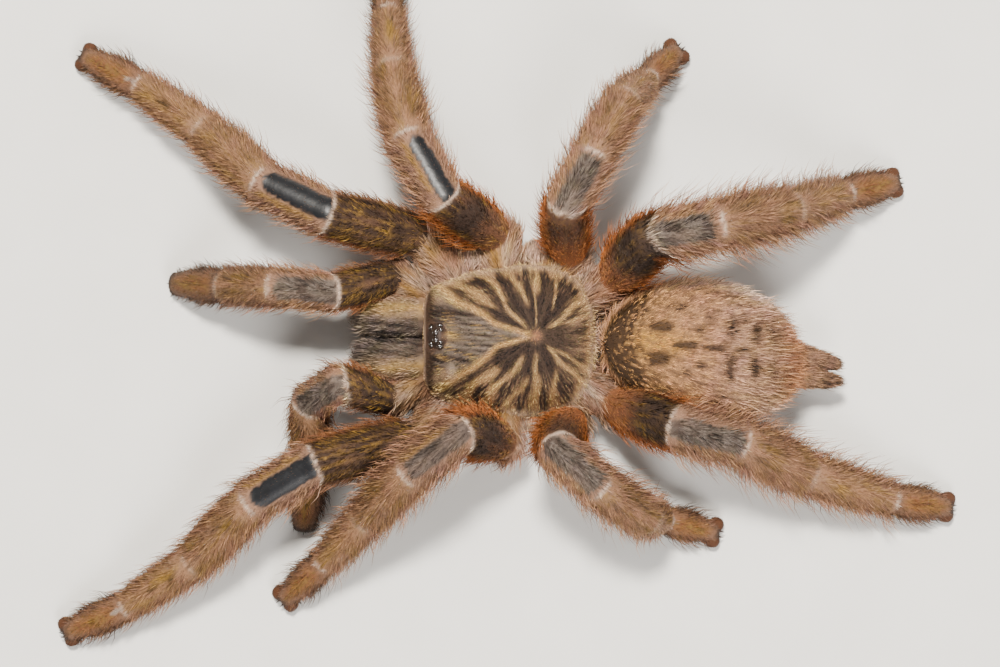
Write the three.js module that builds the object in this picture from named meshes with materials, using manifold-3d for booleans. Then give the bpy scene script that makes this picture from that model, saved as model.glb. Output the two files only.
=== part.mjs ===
// A starburst baboon tarantula, an adult female at life size, standing still.
// Millimetres, +Z up. The head points toward -X and the animal's right side toward +Y.
// Every solid reaches out to the tips of the hair on it.
import * as THREE from 'three';
import { mergeVertices } from 'three/addons/utils/BufferGeometryUtils.js';
import Module from 'manifold-3d';

// ---- Driving dimensions -------------------------------------------------

const CARAPACE_LENGTH = 20;
const CARAPACE_WIDTH = 17.6;
const CARAPACE_FRONT_WIDTH = 12.4;
const CARAPACE_FRONT_X = -8.9;
const CARAPACE_WIDEST_X = 2.9;
const CARAPACE_RIM_Z = 8;
const CARAPACE_HEIGHT = 4.6;
const CARAPACE_RIM_DEPTH = 0.8;
const BODY_Y = -0.5; // the head and carapace lie a little to the left of the origin
const STERNUM_Z = 3;
const HIP_Z = 6;
const COXA_RADIUS = 3;
const PEDICEL_SIZE = [6, 2.6, 2]; // the waist: along, across and tall

const ABDOMEN_LENGTH = 22.4;
const ABDOMEN_WIDTH = 16.2;
const ABDOMEN_HEIGHT = 13.4;
const ABDOMEN_FRONT_X = 11.7;
const ABDOMEN_Z = 8.6;
const ABDOMEN_BEND = 2.2; // its rear end lies this far to the left

const CHELICERA_LENGTH = 9.4;
const CHELICERA_WIDTH = 5.1;
const CHELICERA_HEIGHT = 6.6;
const FANG_LENGTH = 6.2;
const FANG_RADIUS = 0.62;
const SPINNERET_LENGTH = 5.4;
const SPINNERET_RADIUS = 1.15;
const TUBERCLE_SIZE = [2.6, 3.3, 1.5]; // along, across and tall

const GAP = 0.3; // air between two pieces that touch
const LIMB_SIDES = 8;
const FOOT_Z = 1.7; // height of a foot's centreline at its tip
const TUFT_RADIUS = 1.1;
const TUFT_SPREAD = 1.15;
const TUFT_PRESS = 0.5; // a claw tuft would reach this far below the floor, and is flat there

// Half widths of a leg's hairy outline, at its joints and halfway along its segments.
const LEG_SEGMENTS = ['femur', 'patella', 'tibia', 'metatarsus', 'tarsus'];
const LEG_JOINT_RADII = [2.4, 2.9, 2.75, 2.45, 2.15, 1.5];
const LEG_MIDDLE_RADII = [3.3, 2.95, 3.0, 2.45, 2.15];
const PALP_SEGMENTS = ['femur', 'patella', 'tibia', 'tarsus'];
const PALP_JOINT_RADII = [1.9, 2.5, 2.5, 2.3, 1.5];
const PALP_MIDDLE_RADII = [2.6, 2.55, 2.6, 2.4];

// The four leg pairs: how stout they are, and the lengths of femur to tarsus.
const LEG_PAIRS = {
  1: { girth: 1, lengths: [13.6, 8.9, 10.4, 9.9, 7.8] },
  2: { girth: 0.96, lengths: [12.3, 8.5, 9.1, 8.5, 7.2] },
  3: { girth: 0.92, lengths: [10.8, 7.5, 7.6, 8.6, 6.6] },
  4: { girth: 1.04, lengths: [11.3, 8.4, 9.8, 11.2, 6.9] },
};
const PALP_LENGTHS = [9.5, 7.0, 7.4, 8.1];

// The pose: where each limb leaves the body, and for each segment the way it
// points seen from above and how steeply it climbs, in degrees. The last
// segment's climb is left out, because it comes down until the foot is at FOOT_Z.
// A fringe is how far the femur's long hair bulges along X and Y.
const LEG_POSES = [
  { pair: 1, side: 'right', hip: [-8.7, 11.2], heading: [169, 154, 138, 145, 152], climb: [38, -16, -26, -19] },
  {
    pair: 2, side: 'right', hip: [0, 11.1], fringe: [0.5, 0.9],
    heading: [150, 119, 103, 95, 94], climb: [53, -14, -24, -36],
  },
  { pair: 3, side: 'right', hip: [8, 8.8], heading: [104, 62, 60, 43, 46], climb: [64, -3, -13, -64] },
  { pair: 4, side: 'right', hip: [13.1, 6.2], heading: [53, 10, 12, 18, 13], climb: [60, 17, -30, -50] },
  { pair: 1, side: 'left', hip: [-8.7, -11.8], heading: [-167, -149, -134, -146, -156], climb: [23, -13, -17, -15] },
  {
    pair: 2, side: 'left', hip: [0.5, -12.8], fringe: [0, -1.6],
    heading: [150, -139, -133, -133, -137], climb: [65, -17, -34, -32],
  },
  { pair: 3, side: 'left', hip: [8.3, -9.9], heading: [-139, -41, -34, -15, -15], climb: [70, -8, -27, -78] },
  { pair: 4, side: 'left', hip: [12.9, -7.9], heading: [-20, -14, -26, -17, -8], climb: [51, -23, -23, -19] },
];
const PALP_POSES = [
  { side: 'right', hip: [-11.6, 6.8], heading: [-163, 175, 178, 177], climb: [39, -1, -39] },
  { side: 'left', hip: [-12.3, -7.7], heading: [157, -145, -89, -97], climb: [48, -48, -24] },
];

// ---- Materials ----------------------------------------------------------

function finish(color, roughness) {
  return () => new THREE.MeshStandardMaterial({ color, roughness, metalness: 0 });
}

const legFur = finish(0x9c7257, 0.9);
const abdomenFur = finish(0xc08a5e, 0.9);
const carapaceFur = finish(0xa08a5c, 0.85);
const cheliceraFur = finish(0x6e6662, 0.85);
const bareSkin = finish(0x5a4638, 0.8);
const blackHorn = finish(0x14100e, 0.25);
const eyeGlass = finish(0x0b0a0a, 0.1);

// ---- Solids and cuts ----------------------------------------------------

const wasm = await Module();
wasm.setup();

function toSolid(geometry) {
  const bare = geometry.clone();
  bare.deleteAttribute('normal');
  bare.deleteAttribute('uv');
  const merged = mergeVertices(bare, 1e-4);
  return new wasm.Manifold(new wasm.Mesh({
    numProp: 3,
    vertProperties: new Float32Array(merged.attributes.position.array),
    triVerts: new Uint32Array(merged.index.array),
  }));
}

function toGeometry(solid) {
  const mesh = solid.getMesh();
  const geometry = new THREE.BufferGeometry();
  geometry.setAttribute('position', new THREE.BufferAttribute(mesh.vertProperties, 3));
  geometry.setIndex(new THREE.BufferAttribute(mesh.triVerts, 1));
  geometry.computeVertexNormals();
  return geometry;
}

// Everything on the side of a plane that its normal points to.
function beyond(point, normal) {
  const size = 200;
  const block = new THREE.BoxGeometry(size, size, size);
  block.translate(0, 0, size / 2);
  const facing = new THREE.Quaternion().setFromUnitVectors(new THREE.Vector3(0, 0, 1), normal);
  block.applyQuaternion(facing);
  block.translate(point.x, point.y, point.z);
  return toSolid(block);
}

// Cuts off what lies past a joint, half the gap short of the joint's plane.
function cutAt(solid, point, outward) {
  const start = point.clone().addScaledVector(outward, -GAP / 2);
  return solid.subtract(beyond(start, outward));
}

function mapVertices(geometry, mapping) {
  const position = geometry.attributes.position;
  const vertex = new THREE.Vector3();
  for (let index = 0; index < position.count; index += 1) {
    mapping(vertex.fromBufferAttribute(position, index));
    position.setXYZ(index, vertex.x, vertex.y, vertex.z);
  }
  return geometry;
}

function ellipsoid(center, size, columns, rows) {
  const ball = new THREE.SphereGeometry(0.5, columns, rows);
  ball.rotateX(Math.PI / 2);
  ball.scale(...size);
  ball.translate(...center);
  return ball;
}

// A round-ended limb from start to end. Its half width runs over three radii,
// flatness is its height over its width, margin makes it stouter all round, and
// bulge moves its middle.
function limb(start, end, radii, { margin = 0, flatness = 1, bulge = [0, 0] } = {}) {
  const [startRadius, middleRadius, endRadius] = radii.map((radius) => radius + margin);
  const along = end.clone().sub(start);
  const length = along.length();
  along.normalize();
  const across = new THREE.Vector3(0, 0, 1).cross(along).normalize();
  const up = along.clone().cross(across);
  const stations = [
    { distance: -0.85 * startRadius, radius: 0.5 * startRadius },
    { distance: -0.3 * startRadius, radius: 0.94 * startRadius },
    { distance: 0.5 * length, radius: middleRadius, shift: bulge },
    { distance: length + 0.3 * endRadius, radius: 0.94 * endRadius },
    { distance: length + 0.85 * endRadius, radius: 0.5 * endRadius },
  ];
  const rings = stations.length - 1;
  const tube = new THREE.CylinderGeometry(1, 1, 1, LIMB_SIDES, rings);
  const facets = 1 / Math.cos(Math.PI / LIMB_SIDES / 2); // keeps the mean width true
  return mapVertices(tube, (vertex) => {
    const { distance, radius, shift = [0, 0] } = stations[Math.round((0.5 - vertex.y) * rings)];
    const sideways = vertex.x * radius * facets;
    const upward = vertex.z * radius * facets * flatness;
    vertex.copy(start).addScaledVector(along, distance);
    vertex.addScaledVector(across, sideways).addScaledVector(up, upward);
    vertex.x += shift[0];
    vertex.y += shift[1];
  });
}

// ---- The pose of one limb -----------------------------------------------

function direction(heading, climb) {
  const turn = THREE.MathUtils.degToRad(heading);
  const rise = THREE.MathUtils.degToRad(climb);
  return new THREE.Vector3(Math.cos(turn) * Math.cos(rise), Math.sin(turn) * Math.cos(rise), Math.sin(rise));
}

// The joints of a limb: the root of its coxa, its hip, and on to the tip of its foot.
function jointsOf({ hip, heading, climb }, lengths) {
  const root = new THREE.Vector3(0.45 * hip[0] + 0.6, BODY_Y + 0.35 * (hip[1] - BODY_Y), HIP_Z - 1);
  const joints = [root, new THREE.Vector3(hip[0], hip[1], HIP_Z)];
  lengths.forEach((length, index) => {
    const last = joints[index + 1];
    const down = THREE.MathUtils.radToDeg(Math.asin((FOOT_Z - last.z) / length));
    const rise = index < climb.length ? climb[index] : down;
    joints.push(last.clone().addScaledVector(direction(heading[index], rise), length));
  });
  return joints;
}

// The plane of a joint halves the bend between the two segments that meet there.
function planeNormal(joints, index) {
  const before = joints[index].clone().sub(joints[index - 1]).normalize();
  const after = joints[index + 1].clone().sub(joints[index]).normalize();
  return before.add(after).normalize();
}

function clawTufts(joints) {
  const [heel, tip] = joints.slice(-2);
  const along = tip.clone().sub(heel).normalize();
  const across = new THREE.Vector3(0, 0, 1).cross(along).normalize();
  return [-1, 1].map((side) => {
    const center = tip.clone().addScaledVector(along, 0.2 * TUFT_RADIUS);
    center.addScaledVector(across, side * TUFT_SPREAD);
    const size = [2.2 * TUFT_RADIUS, 2.2 * TUFT_RADIUS, 2 * (FOOT_Z + TUFT_PRESS)];
    return toSolid(ellipsoid(center.toArray(), size, 6, 4));
  });
}

function segmentSolid({ joints, jointRadii, middleRadii, fringe }, index, margin = 0) {
  const radii = [jointRadii[index], middleRadii[index], jointRadii[index + 1]];
  const bulge = index === 0 ? fringe : undefined;
  return toSolid(limb(joints[index + 1], joints[index + 2], radii, { margin, bulge }));
}

function aboveFloor(solid) {
  return solid.subtract(beyond(new THREE.Vector3(0, 0, 0), new THREE.Vector3(0, 0, -1)));
}

// The segments of a limb, parted at their joints' planes. The last is its foot.
function limbSolids(plan) {
  const { joints, segments } = plan;
  const last = segments.length - 1;
  return segments.map((segment, index) => {
    let solid = segmentSolid(plan, index);
    solid = cutAt(solid, joints[index + 1], planeNormal(joints, index + 1).negate());
    if (index < last) {
      return cutAt(solid, joints[index + 2], planeNormal(joints, index + 2));
    }
    return aboveFloor(clawTufts(joints).reduce((foot, tuft) => foot.add(tuft), solid));
  });
}

// ---- Body pieces --------------------------------------------------------

// The point of the carapace's plan at an angle and a share of the way out: blunt
// in front, rounded behind and widest behind the middle.
function carapacePlan(cosine, sine, spread, margin) {
  const frontLength = CARAPACE_WIDEST_X - CARAPACE_FRONT_X;
  const rearLength = CARAPACE_LENGTH - frontLength;
  const squareness = cosine < 0 ? 2 / 4.5 : 2 / 2.4;
  const alongShare = Math.sign(cosine) * Math.abs(cosine) ** squareness;
  const acrossShare = Math.sign(sine) * Math.abs(sine) ** squareness;
  const narrowing = 1 - CARAPACE_FRONT_WIDTH / CARAPACE_WIDTH;
  const taper = alongShare < 0 ? 1 - narrowing * Math.abs(alongShare) ** 1.6 : 1;
  const halfWidth = CARAPACE_WIDTH / 2 * taper + margin;
  const halfLength = (cosine < 0 ? frontLength : rearLength) + margin;
  const x = CARAPACE_WIDEST_X + halfLength * alongShare * spread;
  return { x, y: BODY_Y + halfWidth * acrossShare * spread, alongShare };
}

// A domed shield, highest over the head, with a rounded rim.
function carapaceSolid(margin = 0) {
  const dome = new THREE.SphereGeometry(1, 24, 10);
  dome.rotateX(Math.PI / 2);
  return toSolid(mapVertices(dome, (vertex) => {
    const reach = Math.max(Math.hypot(vertex.x, vertex.y), 1e-6);
    const { x, y, alongShare } = carapacePlan(vertex.x / reach, vertex.y / reach, reach ** 0.9, margin);
    const height = CARAPACE_HEIGHT * (1 - 0.15 * alongShare * reach) + margin;
    const depth = CARAPACE_RIM_DEPTH + margin;
    vertex.set(x, y, CARAPACE_RIM_Z + (vertex.z > 0 ? height : depth) * vertex.z);
  }));
}

// The room that the carapace's rim takes, with its gap, as an upright drum.
function carapaceRoom() {
  const bottom = CARAPACE_RIM_Z - CARAPACE_RIM_DEPTH - GAP;
  const height = CARAPACE_HEIGHT * 0.6 + CARAPACE_RIM_DEPTH;
  const drum = new THREE.CylinderGeometry(1, 1, height, 24, 1);
  drum.rotateX(Math.PI / 2);
  return toSolid(mapVertices(drum, (vertex) => {
    const reach = Math.hypot(vertex.x, vertex.y);
    const turn = Math.atan2(vertex.y, vertex.x);
    const { x, y } = carapacePlan(Math.cos(turn), Math.sin(turn), reach, 1.3 * GAP);
    vertex.set(x, y, bottom + height / 2 + vertex.z);
  }));
}

const tubercleCenter = [CARAPACE_FRONT_X + 1.6, BODY_Y + 0.2, CARAPACE_RIM_Z + 3.6];

function tubercleSolid(margin = 0) {
  return toSolid(ellipsoid(tubercleCenter, TUBERCLE_SIZE.map((size) => size + 2 * margin), 10, 6));
}

// The tubercle with eight lenses: two large round ones in the middle, three smaller each side.
function eyeSolid() {
  const lenses = [
    { place: [0.0, 0.42, 0.62], size: 0.72 },
    { place: [-0.75, 1.05, 0.35], size: 0.62 },
    { place: [0.5, 1.15, 0.4], size: 0.5 },
    { place: [0.55, 0.75, 0.52], size: 0.42 },
  ];
  let solid = tubercleSolid();
  for (const side of [-1, 1]) {
    for (const { place: [ahead, aside, above], size } of lenses) {
      const offset = [ahead, side * aside, above];
      const center = tubercleCenter.map((value, axis) => value + offset[axis]);
      solid = solid.add(toSolid(ellipsoid(center, [size, size, size], 6, 4)));
    }
  }
  return solid;
}

// Egg-shaped, widest behind the middle, bending a little to the left.
function eggSolid(margin = 0) {
  const size = [ABDOMEN_LENGTH, ABDOMEN_WIDTH, ABDOMEN_HEIGHT].map((side) => side + 2 * margin);
  const egg = ellipsoid([0, 0, 0], size, 20, 12);
  return toSolid(mapVertices(egg, (vertex) => {
    const share = vertex.x / ABDOMEN_LENGTH;
    vertex.y = vertex.y * (1 + 0.1 * share) + BODY_Y - 0.7 - ABDOMEN_BEND * (share + 0.5) ** 2;
    vertex.x += ABDOMEN_FRONT_X + ABDOMEN_LENGTH / 2;
    vertex.z += ABDOMEN_Z;
  }));
}

function pedicelSolid(margin = 0) {
  const center = [CARAPACE_FRONT_X + CARAPACE_LENGTH + 1, BODY_Y, HIP_Z - 0.2];
  return toSolid(ellipsoid(center, PEDICEL_SIZE.map((size) => size + 2 * margin), 8, 4));
}

// A straight stub from under the body to a little past the hip.
function coxaSolid([root, hip], hipRadius) {
  const along = hip.clone().sub(root);
  const length = along.length() + hipRadius / 2;
  const stub = new THREE.CylinderGeometry(hipRadius, COXA_RADIUS, length, LIMB_SIDES, 1);
  stub.translate(0, length / 2, 0);
  stub.applyQuaternion(new THREE.Quaternion().setFromUnitVectors(new THREE.Vector3(0, 1, 0), along.normalize()));
  stub.translate(root.x, root.y, root.z);
  return toSolid(stub);
}

// Sternum with the coxae that fan out from it to the hips, under the carapace.
function prosomaBaseSolid(limbs) {
  const height = CARAPACE_RIM_Z - CARAPACE_RIM_DEPTH - GAP - STERNUM_Z;
  let solid = toSolid(ellipsoid([1.2, BODY_Y, STERNUM_Z + height / 2], [19, 12, height], 12, 6));
  for (const { joints, jointRadii } of limbs) {
    solid = solid.add(cutAt(coxaSolid(joints, jointRadii[0]), joints[1], planeNormal(joints, 1)));
  }
  return solid;
}

function cheliceraRoot(side) {
  return new THREE.Vector3(CARAPACE_FRONT_X + 0.4, BODY_Y + side * CHELICERA_WIDTH / 2, HIP_Z + 2.2);
}

function cheliceraSolid(side, margin = 0) {
  const root = cheliceraRoot(side);
  const tip = root.clone().add(new THREE.Vector3(-0.62 * CHELICERA_LENGTH, side * 0.15, -1.6));
  const halfWidth = CHELICERA_WIDTH / 2;
  const radii = [halfWidth, halfWidth + 0.1, halfWidth - 0.1];
  return toSolid(limb(root, tip, radii, { margin, flatness: CHELICERA_HEIGHT / CHELICERA_WIDTH }));
}

// A horn that curves back and inward below its chelicera.
function fangSolid(side, margin = 0) {
  const start = cheliceraRoot(side).add(new THREE.Vector3(-0.72 * CHELICERA_LENGTH, 0, -4.6));
  const tube = new THREE.CylinderGeometry(1, 1, 1, 8, 6);
  return toSolid(mapVertices(tube, (vertex) => {
    const share = vertex.y + 0.5;
    const radius = FANG_RADIUS * (1 - 0.75 * share) + margin;
    const bow = 0.9 * Math.sin(Math.PI * share);
    const sideways = -vertex.x * radius - side * 0.5 * share;
    const upward = vertex.z * radius - bow;
    vertex.set(start.x + (FANG_LENGTH + 2 * margin) * share - margin, start.y + sideways, start.z + upward);
  }));
}

function spinneretSolid(side) {
  const root = new THREE.Vector3(33.2, BODY_Y - 2.4 + side * 1.8, 5.6);
  const tip = root.clone().add(new THREE.Vector3(SPINNERET_LENGTH, side * 0.1 - 0.7, -0.8));
  return toSolid(limb(root, tip, [SPINNERET_RADIUS, SPINNERET_RADIUS, 0.75 * SPINNERET_RADIUS]));
}

// ---- The animal ---------------------------------------------------------

const group = new THREE.Group();

function addPiece(name, solid, material) {
  const mesh = new THREE.Mesh(toGeometry(solid), material());
  mesh.name = name;
  group.add(mesh);
}

const legs = LEG_POSES.map((pose) => {
  const { girth, lengths } = LEG_PAIRS[pose.pair];
  return {
    name: `leg_${pose.pair}_${pose.side}`,
    joints: jointsOf(pose, lengths),
    fringe: pose.fringe,
    segments: LEG_SEGMENTS,
    jointRadii: LEG_JOINT_RADII.map((radius) => radius * girth),
    middleRadii: LEG_MIDDLE_RADII.map((radius) => radius * girth),
  };
});
const palps = PALP_POSES.map((pose) => ({
  name: `palp_${pose.side}`,
  joints: jointsOf(pose, PALP_LENGTHS),
  segments: PALP_SEGMENTS,
  jointRadii: PALP_JOINT_RADII,
  middleRadii: PALP_MIDDLE_RADII,
}));
const plans = [...legs, ...palps];

// The room that a limb's segment takes, with its gap.
function roomOf(name, index) {
  return segmentSolid(plans.find((plan) => plan.name === name), index, GAP);
}

function without(solid, ...others) {
  return others.reduce((rest, other) => rest.subtract(other), solid);
}

for (const plan of plans) {
  limbSolids(plan).forEach((solid, index) => {
    const cleared = index === 0 ? without(solid, carapaceRoom()) : solid;
    addPiece(`${plan.name}_${plan.segments[index]}`, cleared, legFur);
  });
}

const cheliceraRoom = [cheliceraSolid(1, GAP), cheliceraSolid(-1, GAP)];
const base = without(prosomaBaseSolid(plans), carapaceRoom(), pedicelSolid(GAP), ...cheliceraRoom);
addPiece('prosoma_base', base, bareSkin);
addPiece('carapace', without(carapaceSolid(), tubercleSolid(GAP)), carapaceFur);
addPiece('eye_tubercle', eyeSolid(), eyeGlass);
const abdomen = eggSolid().add(pedicelSolid());
const legRooms = [roomOf('leg_4_right', 0), roomOf('leg_4_left', 0), roomOf('leg_4_left', 1)];
addPiece('abdomen', without(abdomen, ...legRooms), abdomenFur);

const middle = new THREE.Vector3(0, BODY_Y, 0);
for (const [sideName, side] of [['right', 1], ['left', -1]]) {
  const inward = new THREE.Vector3(0, -side, 0);
  const chelicera = cutAt(cheliceraSolid(side), middle, inward);
  const room = [carapaceSolid(GAP), roomOf(`palp_${sideName}`, 0), fangSolid(side, GAP)];
  addPiece(`chelicera_${sideName}`, without(chelicera, ...room), cheliceraFur);
  addPiece(`fang_${sideName}`, fangSolid(side), blackHorn);
  addPiece(`spinneret_${sideName}`, without(spinneretSolid(side), eggSolid(GAP)), abdomenFur);
}

// The origin is on the floor, under the middle of the animal's box.
const center = new THREE.Box3().setFromObject(group).getCenter(new THREE.Vector3());
group.position.set(-center.x, -center.y, 0);

export default group;
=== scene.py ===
import math
import bpy
import numpy as np
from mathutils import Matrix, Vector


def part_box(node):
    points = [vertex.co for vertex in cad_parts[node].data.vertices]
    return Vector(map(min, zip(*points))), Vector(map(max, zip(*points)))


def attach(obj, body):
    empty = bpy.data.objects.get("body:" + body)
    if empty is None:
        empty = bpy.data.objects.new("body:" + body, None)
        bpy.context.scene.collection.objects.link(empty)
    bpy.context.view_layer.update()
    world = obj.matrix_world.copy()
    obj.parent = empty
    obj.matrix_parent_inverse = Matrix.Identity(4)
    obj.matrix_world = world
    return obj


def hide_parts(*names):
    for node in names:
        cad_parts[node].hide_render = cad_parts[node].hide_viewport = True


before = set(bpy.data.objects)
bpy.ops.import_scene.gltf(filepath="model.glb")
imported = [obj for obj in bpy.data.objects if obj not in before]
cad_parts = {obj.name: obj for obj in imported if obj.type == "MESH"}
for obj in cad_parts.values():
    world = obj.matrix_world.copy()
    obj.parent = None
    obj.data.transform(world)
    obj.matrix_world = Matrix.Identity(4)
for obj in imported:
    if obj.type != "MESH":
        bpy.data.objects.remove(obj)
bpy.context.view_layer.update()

# Shapes are worked out in millimetres from a point on the floor below the camera, called home.
mm = 0.001
shieldLow, shieldHigh = (np.array(corner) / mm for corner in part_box("carapace"))
home = np.array([shieldLow[0] + 8.9, (shieldLow[1] + shieldHigh[1]) / 2 + 0.5, 0])
onFloor = np.array([1, 1, 0])  # leaves out the height


def unit(vectors):
    return vectors / np.maximum(np.linalg.norm(vectors, axis=-1, keepdims=True), 1e-9)


def dot(first, second):
    return np.sum(first * second, axis=-1)


def together(*parts):  # numbers or arrays side by side, as a new last axis
    return np.stack(np.broadcast_arrays(*parts), axis=-1)


def ease(values, low, high):  # 0 at low, 1 at high and smooth between; low may be the larger
    share = np.clip((values - low) / (high - low), 0, 1)
    return share * share * (3 - 2 * share)


def hump(values, centre, width):  # a bell curve
    return np.exp(-(((values - centre) / width) ** 2))


def ripple(points, size, seed):  # smooth noise, about -1 to 1: sines along odd directions
    sway = np.random.default_rng(seed)
    total = 0
    for step in range(6):
        direction = unit(sway.normal(size=points.shape[-1])) * 2 * math.pi / (size * sway.uniform(0.6, 1.7))
        total = total + np.sin(points @ direction + sway.uniform(0, 2 * math.pi))
    return total / 3


viewSettings = {"height": 350, "sharpHeight": 8, "widthThere": 114.3, "sensor": 36}
lampSettings = {
    "keyLamp": {"place": (-60, 280, 680), "size": 110, "watts": 15.5, "colour": (1, 0.95, 0.87)},
    "fillLamp": {"place": (120, -420, 460), "size": 300, "watts": 4.8, "colour": (1, 0.97, 0.94)},
    "rearLamp": {"place": (330, 60, 200), "size": 200, "watts": 0.5, "colour": (1, 1, 1)},
}
studioSettings = {"colour": (1, 0.98, 0.95, 1), "strength": 0.3}


def setUp(name, data, place):  # a camera or a lamp at a place in mm
    thing = bpy.data.objects.new(name, data)
    thing.location = np.array(place) * mm
    bpy.context.collection.objects.link(thing)
    return thing


def makeCamera(settings):
    data = bpy.data.cameras.new("camera")
    data.sensor_width = settings["sensor"]
    data.lens = settings["sensor"] * (settings["height"] - settings["sharpHeight"]) / settings["widthThere"]
    data.clip_start = 0.01
    bpy.context.scene.camera = setUp("camera", data, home + [0, 0, settings["height"]])


def makeLamps():
    for name, settings in lampSettings.items():
        data = bpy.data.lights.new(name, "AREA")
        data.size = settings["size"] * mm
        data.energy = settings["watts"]
        data.color = settings["colour"]
        x, y, z = settings["place"]
        lamp = setUp(name, data, (x, y, z))
        lamp.rotation_euler = (math.atan2(math.hypot(x, y), z), 0, math.atan2(x, -y))
    world = bpy.data.worlds.new("studio")
    world.use_nodes = True
    inputs = world.node_tree.nodes["Background"].inputs
    inputs["Color"].default_value = studioSettings["colour"]
    inputs["Strength"].default_value = studioSettings["strength"]
    bpy.context.scene.world = world


makeCamera(viewSettings)
makeLamps()
print("camera and lamps made")


def paint(red, green, blue):  # screen colour 0-255 to the shader's linear values
    return tuple((value / 255) ** 2.2 for value in (red, green, blue)) + (1,)


class Wire:  # a shader socket that can be used in sums
    def __init__(self, recipe, socket):
        self.recipe = recipe
        self.socket = socket

    def sum(self, operation, first, second):
        return self.recipe.add("ShaderNodeMath", {"operation": operation}, {0: first, 1: second})

    def __add__(self, other):
        return self.sum("ADD", self, other)

    def __mul__(self, other):
        return self.sum("MULTIPLY", self, other)

    def __rsub__(self, other):
        return self.sum("SUBTRACT", other, self)

    __radd__ = __add__
    __rmul__ = __mul__


class Recipe:  # one material with its main shader
    def __init__(self, name, **fixed):
        self.material = bpy.data.materials.new(name)
        self.material.use_nodes = True
        self.tree = self.material.node_tree
        self.shader = self.tree.nodes["Principled BSDF"]
        for key, value in fixed.items():
            self.shader.inputs[key.replace("_", " ")].default_value = value

    def add(self, kind, settings={}, inputs={}, output=0):
        node = self.tree.nodes.new(kind)
        for key, value in settings.items():
            setattr(node, key, value)
        for key, value in inputs.items():
            if isinstance(value, Wire):
                self.tree.links.new(value.socket, node.inputs[key])
            else:
                node.inputs[key].default_value = value
        return Wire(self, node.outputs[output])

    def attribute(self, name):  # the three numbers of a vector attribute
        vector = self.add("ShaderNodeAttribute", {"attribute_name": name}, output="Vector")
        return [self.add("ShaderNodeSeparateXYZ", {}, {0: vector}, axis) for axis in "XYZ"]

    def mix(self, share, first, second, way="MIX"):
        return self.add("ShaderNodeMix", {"data_type": "RGBA", "blend_type": way, "clamp_factor": True},
                        {0: share, 6: first, 7: second}, 2)

    def noise(self, size):  # size is a patch's width in mm
        place = self.add("ShaderNodeTexCoord", output="Object")
        return self.add("ShaderNodeTexNoise", {}, {"Vector": place, "Scale": 1 / (size * mm), "Detail": 3})

    def feed(self, key, wire):
        self.tree.links.new(wire.socket, self.shader.inputs[key])


palette = {"ground": paint(186, 136, 104), "pale": paint(252, 224, 200), "gold": paint(188, 142, 60),
           "dark": paint(38, 23, 8), "rust": paint(172, 98, 46), "slate": paint(134, 122, 112)}


def markedColour(recipe, colours):  # the ground colour with each marking laid over it
    pale, gold, dark = recipe.attribute("marksOne")
    rust, slate, bare = recipe.attribute("marksTwo")
    colour = colours["ground"]
    for name, mark in {"rust": rust, "slate": slate, "dark": dark, "gold": gold, "pale": pale}.items():
        colour = recipe.mix(mark, colour, colours[name])
    return colour, bare


def makeFur(name, root=0.22, **changes):  # darker at the roots, partly the hairs' own darker bases and partly painted shade in the gaps between hairs, and each hair and lock a little different
    recipe = Recipe(name, Specular_IOR_Level=0.32)
    colour, bare = markedColour(recipe, {**palette, **changes})
    tip, chance, lock = recipe.attribute("strand")
    # root darkening: partly the hairs' own colour, partly painted shade between the hairs
    shade = (root + tip * (1.18 - root)) * (0.34 + chance * 1.12)
    grey = recipe.add("ShaderNodeCombineXYZ", {}, {0: shade, 1: shade * (1.03 - lock * 0.07),
                                                   2: shade * (0.86 + lock * 0.22)})
    recipe.feed("Base Color", recipe.mix(1.0, colour, grey, "MULTIPLY"))
    recipe.feed("Roughness", 0.5 + lock * 0.2)
    return recipe.material


def makeSkin():  # dull and dark under the fur, partly the skin's own colour and partly painted shade between the hairs, and black horn where it is bare
    recipe = Recipe("spiderSkin", Specular_IOR_Level=0.38)
    colour, bare = markedColour(recipe, palette)
    grain = recipe.noise(0.3)
    # the skin between the hairs is mixed toward dark brown: partly its own colour, partly painted shade
    under = recipe.mix(0.5 + grain * 0.3, colour, paint(44, 30, 22))
    horn = recipe.mix(recipe.noise(1.3), paint(6, 6, 8), paint(28, 29, 33))
    recipe.feed("Base Color", recipe.mix(bare, under, horn))
    recipe.feed("Roughness", 0.8 - bare * 0.46 + grain * 0.12)
    bump = recipe.add("ShaderNodeBump", {}, {"Strength": 0.3, "Distance": 0.00006, "Height": grain})
    recipe.feed("Normal", bump)
    return recipe.material


def makeMottled(name, size, first, second, rough, spread, **fixed):  # soft patches of two colours
    recipe = Recipe(name, **fixed)
    cloud = recipe.noise(size)
    recipe.feed("Base Color", recipe.mix(cloud, paint(*first), paint(*second)))
    recipe.feed("Roughness", rough + cloud * spread)
    return recipe.material


def makePiece(name, points, faces, material, slot, attributes={}, uv=None):
    mesh = bpy.data.meshes.new(name)
    mesh.vertices.add(len(points))
    mesh.vertices.foreach_set("co", ((points + home) * mm).astype(np.float32).ravel())
    mesh.loops.add(faces.size)
    mesh.loops.foreach_set("vertex_index", faces.astype(np.int32).ravel())
    mesh.polygons.add(len(faces))
    mesh.polygons.foreach_set("loop_start", np.arange(0, faces.size, faces.shape[1], dtype=np.int32))
    mesh.update(calc_edges=True)
    mesh.polygons.foreach_set("use_smooth", np.full(len(faces), True))
    for key, values in attributes.items():
        layer = mesh.attributes.new(key, "FLOAT_VECTOR", "POINT")
        layer.data.foreach_set("vector", values.astype(np.float32).ravel())
    if uv is not None:
        layer = mesh.uv_layers.new(name="OFBake")
        layer.data.foreach_set("uv", uv[faces.ravel()].astype(np.float32).ravel())
    mesh.materials.append(material)
    piece = bpy.data.objects.new(name, mesh)
    bpy.context.collection.objects.link(piece)
    if slot:
        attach(piece, "root")
    return piece


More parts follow.
